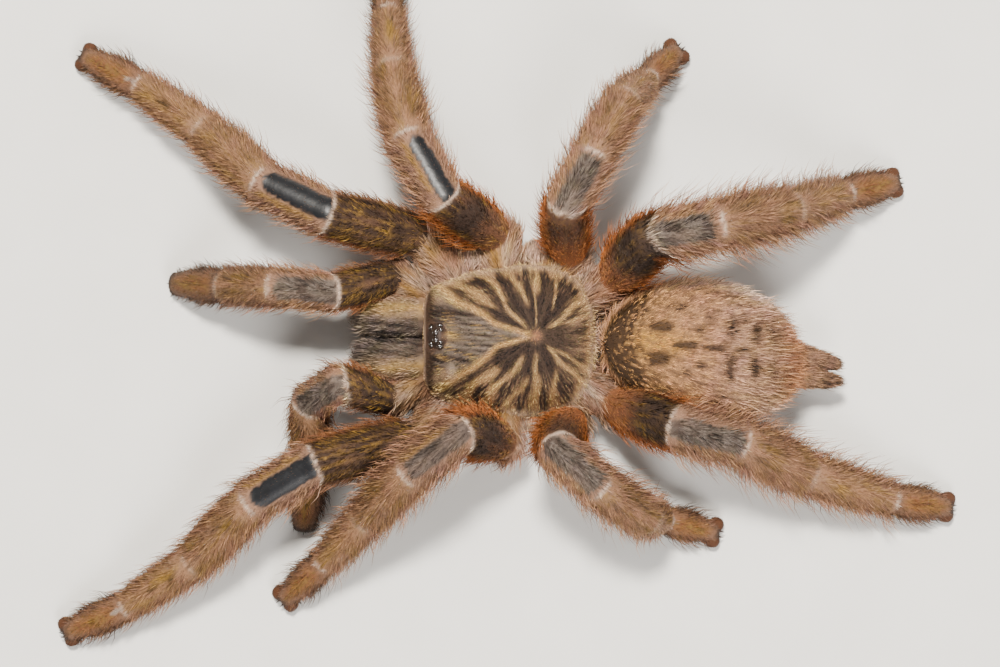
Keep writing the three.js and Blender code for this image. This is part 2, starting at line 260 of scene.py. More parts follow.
def trianglesOf(node):  # corners of a node's triangles, in mm from home
    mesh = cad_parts[node].data
    mesh.calc_loop_triangles()
    points = np.empty(len(mesh.vertices) * 3)
    mesh.vertices.foreach_get("co", points)
    corners = np.empty(len(mesh.loop_triangles) * 3, dtype=np.int32)
    mesh.loop_triangles.foreach_get("vertices", corners)
    return points.reshape(-1, 3)[corners].reshape(-1, 3, 3) / mm - home


def facing(corners):  # each triangle's direction and area
    across = np.cross(corners[:, 1] - corners[:, 0], corners[:, 2] - corners[:, 0])
    return unit(across), np.linalg.norm(across, axis=1) / 2


jointGap = {"width": 0.3, "leeway": 0.06}


def meetingPoint(first, second):  # middle of the two flat cuts that face each other across a gap
    cuts = []
    for node in (first, second):
        corners = trianglesOf(node)
        normals, area = facing(corners)
        keep = area > 0.01
        cuts.append((corners.mean(axis=1)[keep], normals[keep], area[keep]))
    (pointA, normalA, areaA), (pointB, normalB, areaB) = cuts
    gap = np.einsum("abk,ak->ab", pointB[None] - pointA[:, None], normalA)
    opposed = (normalA @ normalB.T < -0.999) & (abs(gap - jointGap["width"]) < jointGap["leeway"])
    best = np.argmax((opposed * areaB[None]).sum(axis=1))
    sameCut = (normalA @ normalA[best] > 0.999) & (abs((pointA - pointA[best]) @ normalA[best]) < 0.05)
    return (np.average(pointA, 0, areaA * sameCut) + np.average(pointB, 0, areaB * opposed[best])) / 2


footSettings = {"tuftReach": 1.35, "height": 1.65}


def jointsOf(nodes):  # where each part meets the one before it, and the foot's tip
    joints = [meetingPoint(*pair) for pair in zip(["prosoma_base"] + nodes, nodes)]
    corners = trianglesOf(nodes[-1]).reshape(-1, 3)
    heel = joints[-1]
    low = corners[corners[:, 2] < footSettings["height"]]
    ahead = unit((low.mean(axis=0) - heel) * onFloor)
    reach = ((low - heel) @ ahead).max() - footSettings["tuftReach"]
    return np.array(joints + [heel * onFloor + ahead * reach + [0, 0, footSettings["height"]]])


limbs = []  # pair 0 are the palps, which have no metatarsus
for pair in (1, 2, 3, 4, 0):
    for side, sign in (("right", -1), ("left", 1)):
        name = f"leg_{pair}_{side}" if pair else f"palp_{side}"
        parts = ["femur", "patella", "tibia"] + ["metatarsus"] * (pair > 0) + ["tarsus"]
        nodes = [f"{name}_{part}" for part in parts]
        limbs.append({"name": name, "pair": pair, "sign": sign, "parts": parts, "nodes": nodes,
                      "joints": jointsOf(nodes)})
print("joints found")

middleY = -0.5
abdomenSettings = {"front": 11.2, "length": 22.9, "width": 16.2, "height": 13.4, "middle": 8.6, "bend": 2.2}
# half widths of the skin at the joints and halfway between them, and how far the pairs differ
skinSettings = {
    "legJoints": [1.9, 2.25, 2.15, 1.9, 1.45, 1.0], "legMiddles": [2.55, 2.25, 2.3, 1.85, 1.65],
    "palpJoints": [1.5, 1.9, 1.9, 1.75, 1.25], "palpMiddles": [2.0, 1.9, 2.0, 1.8],
    "girths": [1, 1, 0.96, 0.92, 1.04], "grid": 0.38, "blend": 0.5,
}

# The skin is a union of rods. A rod runs from start to end, its half width over three radii.
rodRows = []
abdomenRegion, jawRegion, baseRegion = 10, 11, 12  # regions 0 to 9 are the limbs
partOf = {"femur": 0, "patella": 1, "tibia": 2, "metatarsus": 3, "tarsus": 4, "coxa": 5, "tuft": 6,
          "abdomen": 10, "spinneret": 11, "chelicera": 12, "sternum": 13, "flank": 14}


def addRod(region, part, start, end, radii, tall=1.0, cap=1.0, sign=1):
    start, end = np.array(start, float), np.array(end, float)
    length = max(np.linalg.norm(end - start), 1e-3)
    along = (end - start) / length
    up = unit(np.array([0, 0, 1.0]) - along * along[2])
    rodRows.append({"region": region, "part": partOf[part], "start": start, "along": along, "up": up,
                    "side": sign * np.cross(along, up), "length": length, "radii": radii, "tall": tall,
                    "cap": cap})


def addBall(region, part, centre, half):  # an ellipsoid as a very short rod
    tip = np.array(centre, float) + [-1e-3, 0, 0]
    addRod(region, part, centre, tip, [half[1]] * 3, half[2] / half[1], half[0] / half[1])


def footAxes(limb):  # a foot's tip on the floor, and the directions ahead and across
    heel, tip = limb["joints"][-2:]
    ahead = unit((tip - heel) * onFloor)
    return tip * onFloor, ahead, np.array([-ahead[1], ahead[0], 0])


for index, limb in enumerate(limbs):
    kind, tuftAside, tuft, coxaEnd = ("leg", 1.0, 0.82, 2.2) if limb["pair"] else ("palp", 0.66, 0.7, 1.8)
    sign, joints = limb["sign"], limb["joints"]
    jointRadii, middleRadii = (np.array(skinSettings[kind + place]) * skinSettings["girths"][limb["pair"]]
                               for place in ("Joints", "Middles"))
    hip = joints[0]
    root = [0.45 * hip[0] + 0.6, middleY + 0.35 * (hip[1] - middleY), 5.2]
    addRod(index, "coxa", root, hip + [0, 0, 0.1], [2.6, 2.55, coxaEnd], sign=sign)
    for step, part in enumerate(limb["parts"]):
        radii = [jointRadii[step], middleRadii[step], jointRadii[step + 1]]
        addRod(index, part, joints[step], joints[step + 1], radii, 1.02, 0.9, sign)
    tip, ahead, across = footAxes(limb)
    for way in (-1, 1):
        start = tip + ahead * 0.15 + across * way * tuftAside + [0, 0, 1.05]
        addRod(index, "tuft", start, start + ahead * 0.25, [tuft] * 3, 1.15, 1.0, sign)

for side in (1, -1):
    root = np.array([-8.2, middleY + side * 2.42, 7.2])
    addRod(jawRegion, "chelicera", root, root + [-6.6, side * 0.1, -0.7], [2.1, 2.42, 2.05], 1.2, 0.72, side)
    root = np.array([32.0, middleY - 2.7 + side * 1.4, 5.9])
    way = np.array([1, -0.19 - side * 0.06, -0.15])
    for start, end, radius in ((0, 3.2, 1.3), (3.0, 5.2, 1.1), (5.1, 6.7, 0.85)):
        addRod(abdomenRegion, "spinneret", root + way * start, root + way * end,
               [radius, radius, radius * 0.8], sign=side)
for x, y in ((-7.6, 7.6), (-3.4, 8.6), (4.4, 8.8), (9.6, 6.4),
             (-7.6, -8.2), (-3.2, -9.6), (4.6, -9.8), (9.6, -7.6)):
    addBall(baseRegion, "flank", [x, y, 6.0], [2.2, 1.7, 1.5])
addBall(baseRegion, "sternum", [1.2, middleY, 4.9], [9.0, 5.6, 1.75])
addBall(baseRegion, "flank", [1.5, middleY, 6.9], [9.6, 7.9, 1.5])
addRod(baseRegion, "sternum", [9.0, middleY, 6.0], [14.0, middleY, 6.4], [1.6, 1.2, 1.4], 0.9)
addBall(abdomenRegion, "abdomen", [0, 0, 0], [0.5, 0.5, 0.5])  # its own shape is given below

rods = {key: np.array([row[key] for row in rodRows]) for key in rodRows[0]}
rodRegion, rodPart = rods["region"], rods["part"]
# the planes that halve the bend between a rod and the ones before and after it
rods["startPlane"], rods["endPlane"] = rods["along"].copy(), rods["along"].copy()
for index in range(1, len(rodRows)):
    before = index - 1
    if rodRegion[before] == rodRegion[index] and rodPart[before] in (0, 1, 2, 3, 5) and rodPart[index] < 5:
        plane = unit(rods["along"][before] + rods["along"][index])
        rods["endPlane"][before] = rods["startPlane"][index] = plane
abdomenRod = len(rodRows) - 1
abdomenHalf = np.array([abdomenSettings[key] / 2 for key in ("length", "width", "height")]) - [0.6, 0.6, 0.7]


def abdomenShares(points):  # the bent egg straightened into a ball of radius 1
    x, y, z = np.moveaxis(points, -1, 0)
    settings = abdomenSettings
    share = (x - settings["front"]) / settings["length"] - 0.5
    bend = settings["bend"] * np.maximum(share + 0.5, 0) ** 2
    across = (y - middleY + 0.7 + bend) / (1 + 0.22 * share)
    height = (z - settings["middle"]) / (1 + 0.12 * share)
    return together(share * settings["length"], across, height) / abdomenHalf


def rodDepth(points, index):  # about the distance outside a rod: its scaled radius less one, times its width
    if index == abdomenRod:
        return (np.linalg.norm(abdomenShares(points), axis=-1) - 1) * abdomenHalf[1]
    rod = rodRows[index]
    offset = points - rod["start"]
    forward = offset @ rod["along"]
    share = np.clip(forward / rod["length"], 0, 1)
    first, middle, last = rod["radii"]
    width = first * (1 - share) + last * share + (middle - (first + last) / 2) * 4 * share * (1 - share)
    over = (forward - share * rod["length"]) / (width * rod["cap"])
    sideways = offset @ rod["side"] / width
    upward = offset @ rod["up"] / (width * rod["tall"])
    return (np.sqrt(sideways ** 2 + upward ** 2 + over ** 2) - 1) * width


def rodReach(index):  # the corners of the box that a rod needs
    if index == abdomenRod:
        return np.array([9.5, -14, 0]), np.array([36, 11, 17])
    rod = rodRows[index]
    ends = np.array([rod["start"], rod["start"] + rod["along"] * rod["length"]])
    room = max(rod["radii"]) * max(1, rod["tall"], rod["cap"]) + 1.5
    return ends.min(axis=0) - room, ends.max(axis=0) + room


def fillField():  # every rod's depth on one grid, joined by a smooth minimum
    step, blend = skinSettings["grid"], skinSettings["blend"]
    corners = np.array([rodReach(index) for index in range(len(rodRows))])
    low, high = corners[:, 0].min(axis=0), corners[:, 1].max(axis=0)
    low[2] = -1.0
    shape = np.ceil((high - low) / step).astype(int) + 1
    field = np.full(shape, 3.0)
    for index, (start, end) in enumerate(corners):
        first = np.clip(((start - low) / step).astype(int), 0, shape - 1)
        last = np.clip(((end - low) / step).astype(int) + 2, 1, shape)
        axes = [low[axis] + step * np.arange(first[axis], last[axis]) for axis in range(3)]
        window = tuple(slice(*ends) for ends in zip(first, last))
        depth, old = rodDepth(np.stack(np.meshgrid(*axes, indexing="ij"), axis=-1), index), field[window]
        share = np.clip(0.5 + 0.5 * (old - depth) / blend, 0, 1)
        field[window] = old * (1 - share) + depth * share - blend * share * (1 - share)
    return field, low


def netSurface(field, low, step):  # one point in every cell that the surface crosses, joined across its edges
    shape = np.array(field.shape)
    strides = np.array([(shape[1] - 1) * (shape[2] - 1), shape[2] - 1, 1])
    counts = np.zeros(np.prod(shape - 1))
    sums = np.zeros((len(counts), 3))
    quads = []
    for axis in range(3):
        near, far = field.take(range(shape[axis] - 1), axis), field.take(range(1, shape[axis]), axis)
        cells = np.argwhere((near < 0) != (far < 0))
        first, second = near[tuple(cells.T)], far[tuple(cells.T)]
        crossing = cells.astype(float)
        crossing[:, axis] += first / (first - second)
        aside, upward = np.delete(strides, axis)
        flat = cells @ strides
        ring = np.stack([flat, flat - aside, flat - aside - upward, flat - upward], axis=1)
        for cell in ring.T:
            counts += np.bincount(cell, minlength=len(counts))
            for k in range(3):
                sums[:, k] += np.bincount(cell, crossing[:, k], len(counts))
        turned = (first < 0) == (axis == 1)
        ring[turned] = ring[turned][:, ::-1]
        quads.append(ring)
    used = np.flatnonzero(counts)
    order = np.full(len(counts), -1)
    order[used] = np.arange(len(used))
    return sums[used] / counts[used, None] * step + low, order[np.concatenate(quads)]


def normalsOf(points, faces):
    across = np.cross(points[faces[:, 2]] - points[faces[:, 0]], points[faces[:, -1]] - points[faces[:, 1]])
    total = np.zeros_like(points)
    for corner in faces.T:
        for axis in range(3):
            total[:, axis] += np.bincount(corner, across[:, axis], len(points))
    return unit(total)


def nearestRod(points):
    best = np.full(len(points), 1e9)
    owner = np.zeros(len(points), int)
    for index in range(len(rodRows)):
        low, high = rodReach(index)
        near = np.flatnonzero(((points > low) & (points < high)).all(axis=1))
        depth = rodDepth(points[near], index)
        closer = depth < best[near]
        best[near[closer]] = depth[closer]
        owner[near[closer]] = index
    return owner


skinPoints, skinFaces = netSurface(*fillField(), skinSettings["grid"])
skinPoints[:, 2] = np.maximum(skinPoints[:, 2], 0.04)
skinNormals = normalsOf(skinPoints, skinFaces)
skinRods = nearestRod(skinPoints)
print("skin:", len(skinFaces) * 2, "triangles")

# patella patches: middle and half width as angles round the limb, toward the head where positive; how bare
patchSettings = {
    "leg_1_right": (-0.25, 0.66, 1), "leg_1_left": (0.0, 0.62, 1), "leg_2_right": (-0.32, 0.5, 1),
    "leg_2_left": (0.05, 0.55, 0.2), "leg_3_right": (0, 0.65, 0), "leg_3_left": (0, 0.65, 0),
    "leg_4_right": (0, 0.62, 0), "leg_4_left": (0.1, 0.55, 0), "palp_right": (0, 0.7, 0),
    "palp_left": (0, 0.7, 0),
}
limbNames = [limb["name"] for limb in limbs]
patches = np.array([patchSettings[name] for name in limbNames])
pairOf = np.array([limb["pair"] for limb in limbs])
# how gold, how rust and how dark the thighs are, by pair of limbs, palps first
thighColours = np.array([[0.8, 0.85, 0.55, 0.2, 0.3], [0.15, 0.1, 0.55, 0.9, 0.8],
                         [1, 0.97, 0.98, 0.55, 0.8]])
kneeShifts = {"leg_3_right": 0.8, "leg_4_right": 1.6, "leg_4_left": -0.35, "palp_left": -0.9}
kneeShift = np.array([kneeShifts.get(name, 0) for name in limbNames])
# small dark spots, and pale spots on the first legs' feet that are painted highlights: limb, part, share
# along, angle, half length and half width in mm
spotSettings = [
    ("leg_2_right", 3, 0.62, -0.1, 0.9, 0.3), ("leg_1_left", 3, 0.52, 0.05, 0.9, 0.35),
    ("leg_1_left", 3, 0.25, 0, 0.8, 0.32), ("leg_1_left", 2, 0.3, 0, 0.9, 0.25),
    ("leg_1_right", 3, 0.5, 0, 1.0, 0.35), ("leg_3_left", 4, 0.7, 0, 0.35, 0.3),
    ("leg_1_right", 4, 0.12, 0, 0.7, 0.22), ("leg_1_left", 4, 0.1, 0, 0.6, 0.22),
]


def limbPlace(points, owner):  # distances past the near joint and short of the far one, and the angle round
    offset = points - rods["start"][owner]
    past = dot(offset, rods["along"][owner])
    angle = np.arctan2(dot(offset, rods["side"][owner]), dot(offset, rods["up"][owner]))
    return past, rods["length"][owner] - past, angle


def jointPlace(points, owner):  # distances to the planes of the near and the far joint
    end = rods["start"][owner] + rods["along"][owner] * rods["length"][owner][:, None]
    return (dot(points - rods["start"][owner], rods["startPlane"][owner]),
            dot(end - points, rods["endPlane"][owner]))


# Marks are six shares for each point: pale, gold, dark, rust, slate and bare.
def limbMarks(points, normals, owner):
    marks = np.zeros((6, len(points)))
    pale, gold, dark, rust, slate, bare = marks
    past, short, angle = limbPlace(points, owner)
    near, far = jointPlace(points, owner)
    length = rods["length"][owner]
    share = past / length
    oldPart, region = rodPart[owner], rodRegion[owner]
    pair = pairOf[region]
    # on some legs the knee's band lies a little before or past the joint
    knee = np.where(oldPart == 0, -far, near) - kneeShift[region]
    part = np.where(oldPart < 2, knee > 0, oldPart)
    far = np.where(part == 0, -knee, np.where(oldPart == 0, 9, far))
    near = np.where(part == 1, knee, near)
    short = np.where((part == 1) & (oldPart == 0), 9, short)
    share = np.where((part == 0) & (oldPart == 1), 1, share)
    around = abs(angle)
    streak = ripple(together(angle * 2.2, past * 0.16 + part * 5.0 + region * 9), 1.1, 3)
    wobble = ripple(together(angle * 2.2 + region * 3.0, past * 0.22 + part * 5.0), 1.6, 4) * 0.12
    thread = ripple(together(angle * 7 + region, past * 0.3 + part * 5.0), 1.0, 8)
    back = ease(around, 1.5, 0.8)
    femur, patella, tibia, coxa, tufts = (part == number for number in (0, 1, 2, 5, 6))
    isPalp = pair == 0
    metatarsus, tarsus = (part == 3) & ~isPalp, part == 4
    foreFace = (pair < 2) & (angle < 0)

    # thighs: dark above with golden lines, rust along the sides
    goldShare, rustShare, darkShare = thighColours[:, pair]
    lines = sum(hump(angle + wobble, centre, 0.055) for centre in (-0.8, -0.3, 0.12, 0.5, 0.9)) * 0.7
    lines = np.clip(lines * (0.7 + 0.6 * thread) + np.clip(0.9 * thread - 0.35, 0, 0.7), 0, 1)
    nearBody = ease(share, 0.65, 0.1) * np.where(pair > 2, 1, np.where(pair == 2, 0.8, 0))
    edge = ease(around, 0.8, 1.4) * np.where(foreFace, 0.1, np.where(pair < 2, 0.6, 0.8))
    upper = ease(around, np.where(pair == 2, 1.35, 1.65), 0.9)
    dark += femur * upper * np.clip(1.0 + 0.15 * streak, 0, 1) * darkShare
    dark += femur * (pair > 2) * ease(share, 0.45, 0.85) * ease(around, 1.3, 0.7) * 0.35
    dark -= femur * 0.5 * nearBody
    gold -= femur * (pair == 2) * hump(share, 0.72, 0.2) * ease(around, 0.9, 0.5) * 0.5
    gold += femur * ease(around, 1.6, 1.0) * lines * goldShare * (0.8 + 0.3 * streak)
    rust += femur * np.clip(rustShare + edge * 0.9, 0, 1)
    dark += femur * (edge * 0.2 + foreFace * ease(around, 0.9, 1.3) * 0.15)

    # the patella's patch: bare and polished, or grey hair
    middle, half, bareShare = patches[region].T
    inside = (angle - middle) / np.maximum(half, 0.01)
    polished = bareShare > 0.3
    ends = np.maximum(0, np.where(polished, 1.9, 1.0) - short) / np.where(polished, 1.2, 0.7)
    begins = np.maximum(0, 1.0 - near) * 0.6 * polished
    reach = np.sqrt(inside ** 2 + ends ** 2 + begins ** 2) + 0.1 * thread
    patch = patella * ease(reach, 1.1, 0.9) * ease(near, 0.1, 0.3)
    hairy = patch * (1 - bareShare)
    bare += patch * bareShare
    dark += patch * bareShare * 0.6 + hairy * np.clip(0.4 + 0.35 * streak + 0.8 * thread, 0.12, 0.85)
    slate += hairy * (0.78 + 0.15 * streak) + patella * 0.22 * back
    beside = hump(angle, middle + half + 0.16, 0.12) * ease(past, 0.3, 1) * ease(short, 0.4, 1.4)
    gold += patella * beside * np.where(bareShare > 0, 0.75, 0.3)

    # shins: two faint stripes and fine threads
    stripes = hump(angle + wobble, -0.45, 0.16) + hump(angle - wobble, 0.4, 0.16)
    shins = (tibia | metatarsus) * back
    dark += tibia * stripes * np.clip(0.35 + 0.4 * streak, 0, 0.7) * ease(share, 0.02, 0.2)
    dark += shins * np.clip(0.06 + 0.35 * thread, 0, 0.4) + (part < 4) * ease(around, 1.2, 1.9) * 0.15
    gold += shins * (np.where(pair > 2, 0.05, 0.12) + np.clip(0.3 * streak + 0.3 * thread, 0, 0.4))
    slate += shins * 0.25 * np.clip(0.4 + streak, 0, 1)
    glow = np.clip(0.25 + 0.25 * streak, 0, 0.5)
    gold += metatarsus * hump(angle, 0.05, 0.42) * hump(share, 0.5, 0.32) * glow
    dark += metatarsus * hump(angle + wobble, -0.1, 0.2) * hump(share, 0.55, 0.25) * np.clip(streak, 0, 0.6)

    # feet
    centre = hump(angle, 0, 0.6) * ease(short, -0.6, 1.6) * ease(past, 0.2, 1.6)
    rust += tarsus * (0.06 + centre * 0.8) + tufts * 1.0
    gold += tarsus * centre * (0.3 + 0.3 * thread)
    # a dark middle line, and darker toward the sides and underneath: partly the dark fringe, partly a painted
    # shadow outline
    dark += tarsus * (hump(angle, 0, 0.1) * 0.4 * centre + ease(around, 1.1, 2.0) * 0.4)
    dark += tarsus * (0.32 + np.clip(thread * 0.5, 0, 0.4)) + (part > 1) * isPalp * 0.2
    dark += tarsus * ease(short, 0.2, -0.7) * 0.6 + tufts * 0.72
    slate += tarsus * ease(short, 1.6, 0.2) * 0.15

    # pale fringes across the joints
    frayed = 1 + 0.35 * ripple(together(angle * 3, share), 1.0, 5)
    atKnee = hump(np.where(femur, far, np.where(patella, near, 9)), -0.08, 0.2 * frayed)
    atShin = hump(np.where(patella, far, np.where(tibia, near, 9)), 0, 0.17 * frayed)
    atAnkle = hump(np.where(metatarsus, far, np.where(tarsus & ~isPalp, near, 9)), 0, 0.18 * frayed)
    atMiddle = hump(np.where(tibia, far, np.where(metatarsus | (tarsus & isPalp), near, 9)), 0, 0.26)
    pale += atKnee * np.where(pair > 2, ease(around, 1.35, 0.95), ease(around, 1.75, 1.25))
    pale += atShin * ease(around, 0.85, 0.4) * 0.9 + atAnkle * ease(around, 0.8, 0.35) * 0.75
    pale += atMiddle * ease(around, 0.9, 0.4) * 0.3
    bare *= 1 - np.clip(atKnee, 0, 1)
    for name, spotPart, place, turn, halfLong, halfWide in spotSettings:
        own = (region == limbNames.index(name)) & (part == spotPart)
        radius = np.hypot((past - place * length) / halfLong, (angle - turn) * 1.7 / halfWide)
        spot = own * ease(radius, 1.15, 0.8)
        # the spots on the first legs' feet are painted highlights: pale, and bare
        paintedHighlight = spotPart == 4 and "1" in name
        (pale if paintedHighlight else dark)[:] += spot * (0.7 if paintedHighlight else 0.85)
        bare += spot * 0.5 * paintedHighlight

    # hips, and the undersides
    blotch = ripple(together(angle * 2 + region, past * 0.5), 0.9, 9)
    pale += coxa * (0.12 + 0.25 * streak) * ease(around, 2.2, 1.2)
    # fine dark threads, and dark blotches on the hips that are painted shade between them
    dark += coxa * (np.clip(0.35 * thread, 0, 0.3) + np.clip(0.9 * blotch - 0.3, 0, 0.5))
    gold += coxa * 0.8 * hump(far, 0.9, 1.1) * hump(angle, 0.1, 0.55) * (pair < 4)
    below = ease(around, 1.7, 2.6) * ~coxa
    dark += below * 0.3
    rust += below * 0.25 + coxa * 0.35 * ease(around, 1.2, 2.4)
    return marks


def viewPlace(across, down, height):  # a place in the camera's view, in mm from home at a height
    top = viewSettings["height"]
    share = viewSettings["widthThere"] / 1000 * (top - height) / (top - viewSettings["sharpHeight"])
    return np.array([(across - 500) * share, (333.5 - down) * share])


# abdomen spots: across, down, half sizes in thousandths of the view's width, strength
abdomenSpots = [
    (664, 327, 11, 5, 1.0), (661, 358, 10, 7, 1.0), (686, 345, 12, 4, 1.0), (716, 348, 11, 3, 0.9),
    (742, 350, 8, 3, 0.7), (733, 327, 4, 11, 0.85), (731, 368, 4, 13, 0.9), (756, 332, 4, 11, 0.85),
    (754, 367, 4, 11, 0.9), (773, 337, 3, 9, 0.65), (772, 369, 3, 9, 0.7), (700, 329, 5, 4, 0.55),
    (702, 365, 6, 4, 0.6), (681, 307, 9, 4, 0.5), (688, 373, 6, 4, 0.5), (712, 318, 4, 6, 0.45),
    (700, 385, 5, 4, 0.45), (648, 312, 6, 4, 0.4), (640, 350, 5, 4, 0.5), (725, 395, 5, 4, 0.35),
    (671, 392, 5, 3, 0.35), (745, 318, 4, 5, 0.4), (620, 340, 6, 3, 0.7), (632, 358, 6, 4, 0.6),
]


def abdomenMarks(points, normals, owner):
    marks = np.zeros((6, len(points)))
    pale, gold, dark, rust, slate, bare = marks
    x, y, z = points.T
    upward = normals[:, 2]
    top = ease(upward, -0.1, 0.5)
    fine = ripple(points * [0.7, 1.9, 1], 0.7, 21)
    middle = abs(y + 0.9)
    for across, down, wide, tall, strength in abdomenSpots:
        centre = viewPlace(across, down, 14) - [0.35, 0]
        radius = np.hypot((x - centre[0]) / (wide * 0.125), (y - centre[1]) / (tall * 0.125))
        dark += top * strength * 0.95 * ease(radius + 0.3 * fine, 1.3, 0.7)
    # dark flecks, thick at the front and thinning backward
    cover = np.interp(x - 0.07 * middle ** 2, [12, 13.8, 15.5, 18, 24, 30], [1.3, 1.05, 0.58, 0.36, 0.3, 0.2])
    cover = cover * (1 - 0.3 * ease(middle, 6.0, 8.0))
    fleck = ease(fine + 0.4 * ripple(points * [1, 1.8, 1], 0.4, 22), 0.6 - 1.5 * cover, 0.95 - 1.5 * cover)
    dark += ease(upward, -0.1, 0.35) * fleck * np.clip(0.38 + 0.8 * cover, 0, 1)
    # paler sides: partly the pale side hairs, partly painted light against the shade where the sides turn
    # away from the top
    aside = ease(upward, 0.6, 0.2) * ease(upward, -0.6, -0.1)
    pale += aside * ease(x, 16, 21) * ease(x, 31.5, 28) * 0.5
    patch = viewPlace(657, 343, 14)
    bright = hump(x, patch[0], 3.4) * hump(y, patch[1], 1.5)
    covered = 1 - 0.9 * np.clip(dark, 0, 1)
    gold += np.clip(top * (0.5 * ease(x, 26, 14) + 0.8 * bright), 0, 1) * covered
    pale += 0.22 * ease(x, 23, 28) * ease(x, 33, 30.5) * covered ** 2
    rust += 0.22 * bright + 0.5 * ease(x, 29.8, 32) * ease(x, 35, 34)
    slate += 0.25 * ease(x, 34, 35)
    dark += 0.18 * ease(x, 34, 35) + 0.25 * ease(x, 36, 37.5) + ease(upward, -0.2, -0.9) * 0.25
    return marks


def bodyMarks(points, normals, owner):
    marks = np.zeros((6, len(points)))
    pale, gold, dark, rust, slate, bare = marks
    part, upward = rodPart[owner], normals[:, 2]
    jaws, rest = part == partOf["chelicera"], part != partOf["chelicera"]
    aside, x = abs(points[:, 1] - middleY), points[:, 0]
    fine = ripple(points * [0.3, 2.2, 1], 1.2, 31)
    top = ease(upward, -0.2, 0.4)
    stripe = hump(aside, 3.35, 0.85) * ease(x, -16.3, -13.2)
    gold += jaws * top * np.clip(stripe * (0.95 + 0.25 * fine), 0, 1)
    pale += jaws * top * stripe * 0.08
    dark += jaws * np.clip(ease(aside, 3.1, 1.8) * (0.6 + 0.4 * fine), 0, 1)
    slate += jaws * ease(aside, 5.2, 3.4) * 0.85
    dark *= 1 - 0.6 * jaws * ease(x, -13, -15.5)
    rust += jaws * ease(upward, -0.1, -0.8) * 0.6
    dark += rest * 0.45 * ease(upward, -0.1, -0.6)
    # dark patches on the flanks: painted shade between the hips
    dark += (part == partOf["flank"]) * np.clip(0.8 * ripple(points, 1.5, 33) - 0.15, 0, 0.45)
    pale += ((part == partOf["flank"]) | (part == partOf["sternum"]) & (upward > 0)) * 0.35
    return marks


def marksOf(points, normals, owner):
    marks = np.zeros((6, len(points)))
    region = rodRegion[owner]
    for own, marksThere in ((region < 10, limbMarks), (region == 10, abdomenMarks), (region > 10, bodyMarks)):
        if own.any():
            marks[:, own] = np.clip(marksThere(points[own], normals[own], owner[own]), 0, 1)
    return marks


def packMarks(marks):
    return {"marksOne": marks[:3].T, "marksTwo": marks[3:].T}


skinMaterial = makeSkin()
skin = makePiece("skin", skinPoints, skinFaces, skinMaterial, "skin",
                 packMarks(marksOf(skinPoints, skinNormals, skinRods)))
fleshNodes = sum((limb["nodes"] for limb in limbs), [])
fleshNodes += ["prosoma_base", "abdomen"]
fleshNodes += [f"{part}_{side}" for part in ("chelicera", "spinneret") for side in ("right", "left")]
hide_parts(*fleshNodes)
print("skin marked")


def scatter(points, normals, triangles, perArea, seed):  # random roots, so many to a square mm
    dice = np.random.default_rng(seed)
    corners = points[triangles]
    area = facing(corners)[1]
    counts = np.floor(area * perArea + dice.random(len(area))).astype(int)
    chosen = np.repeat(np.arange(len(area)), counts)
    first, second = dice.random(len(chosen)), dice.random(len(chosen))
    over = first + second > 1
    first[over], second[over] = 1 - first[over], 1 - second[over]
    shares = together(1 - first - second, first, second)[..., None]
    surface = (normals[triangles[chosen]] * shares).sum(axis=1)
    return (corners[chosen] * shares).sum(axis=1), unit(surface), chosen


# a long and a short hair: the triangles between its points, and how far up the hair each point is
hairShapes = {
    True: ([(0, 2, 1), (0, 1, 4), (0, 4, 3), (1, 2, 5), (1, 5, 4), (2, 0, 3), (2, 3, 5), (3, 4, 6), (4, 5, 6),
            (5, 3, 6)], [0, 0, 0, 0.5, 0.5, 0.5, 1]),
    False: ([(0, 2, 1), (0, 1, 3), (1, 2, 3), (2, 0, 3)], [0, 0, 0, 1]),
}


def hairMesh(roots, normals, flow, length, lift, width, isLong, hair, dice):
    # each hair is a closed three-sided spike from a sunken root, bent at its middle when long
    swirl = np.stack([ripple(roots, 0.9, 71 + axis) for axis in range(3)], axis=-1)
    flow = flow + swirl * hair.get("sway", 0.1)
    lying = unit(flow - normals * dot(flow, normals)[:, None])
    axis = lying * np.cos(lift)[:, None] + normals * np.sin(lift)[:, None]
    stray = np.where(isLong, 0.12, 0.09) * hair.get("stray", 1)
    axis = unit(axis + dice.normal(0, 1, roots.shape) * stray[:, None])
    bend = unit(axis + (lying * 0.6 - normals * 0.35) * np.where(isLong, 0.7, 0)[:, None])
    middle = roots + axis * (length * 0.5)[:, None]
    tip = middle + bend * (length * 0.5)[:, None]
    across = unit(np.cross(axis, normals) + 1e-6)
    turns = np.array([0.5, 2.594, 4.689])[:, None]
    ring = across[:, None] * np.cos(turns) + np.cross(axis, across)[:, None] * np.sin(turns)
    ring = ring * (width / 2)[:, None, None]
    base = (roots - normals * 0.08)[:, None] + ring
    points, faces, owners, tips, start = [], [], [], [], 0
    for longOnes, (pattern, rise) in hairShapes.items():
        own = np.flatnonzero(isLong == longOnes)
        middles = [middle[own, None] + ring[own] * 0.8] * longOnes
        points.append(np.concatenate([base[own], *middles, tip[own, None]], axis=1).reshape(-1, 3))
        offsets = start + len(rise) * np.arange(len(own))
        faces.append((np.array(pattern) + offsets[:, None, None]).reshape(-1, 3))
        owners.append(np.repeat(own, len(rise)))
        tips.append(np.tile(rise, len(own)))
        start += len(points[-1])
    return tuple(np.concatenate(each) for each in (points, faces, owners, tips))


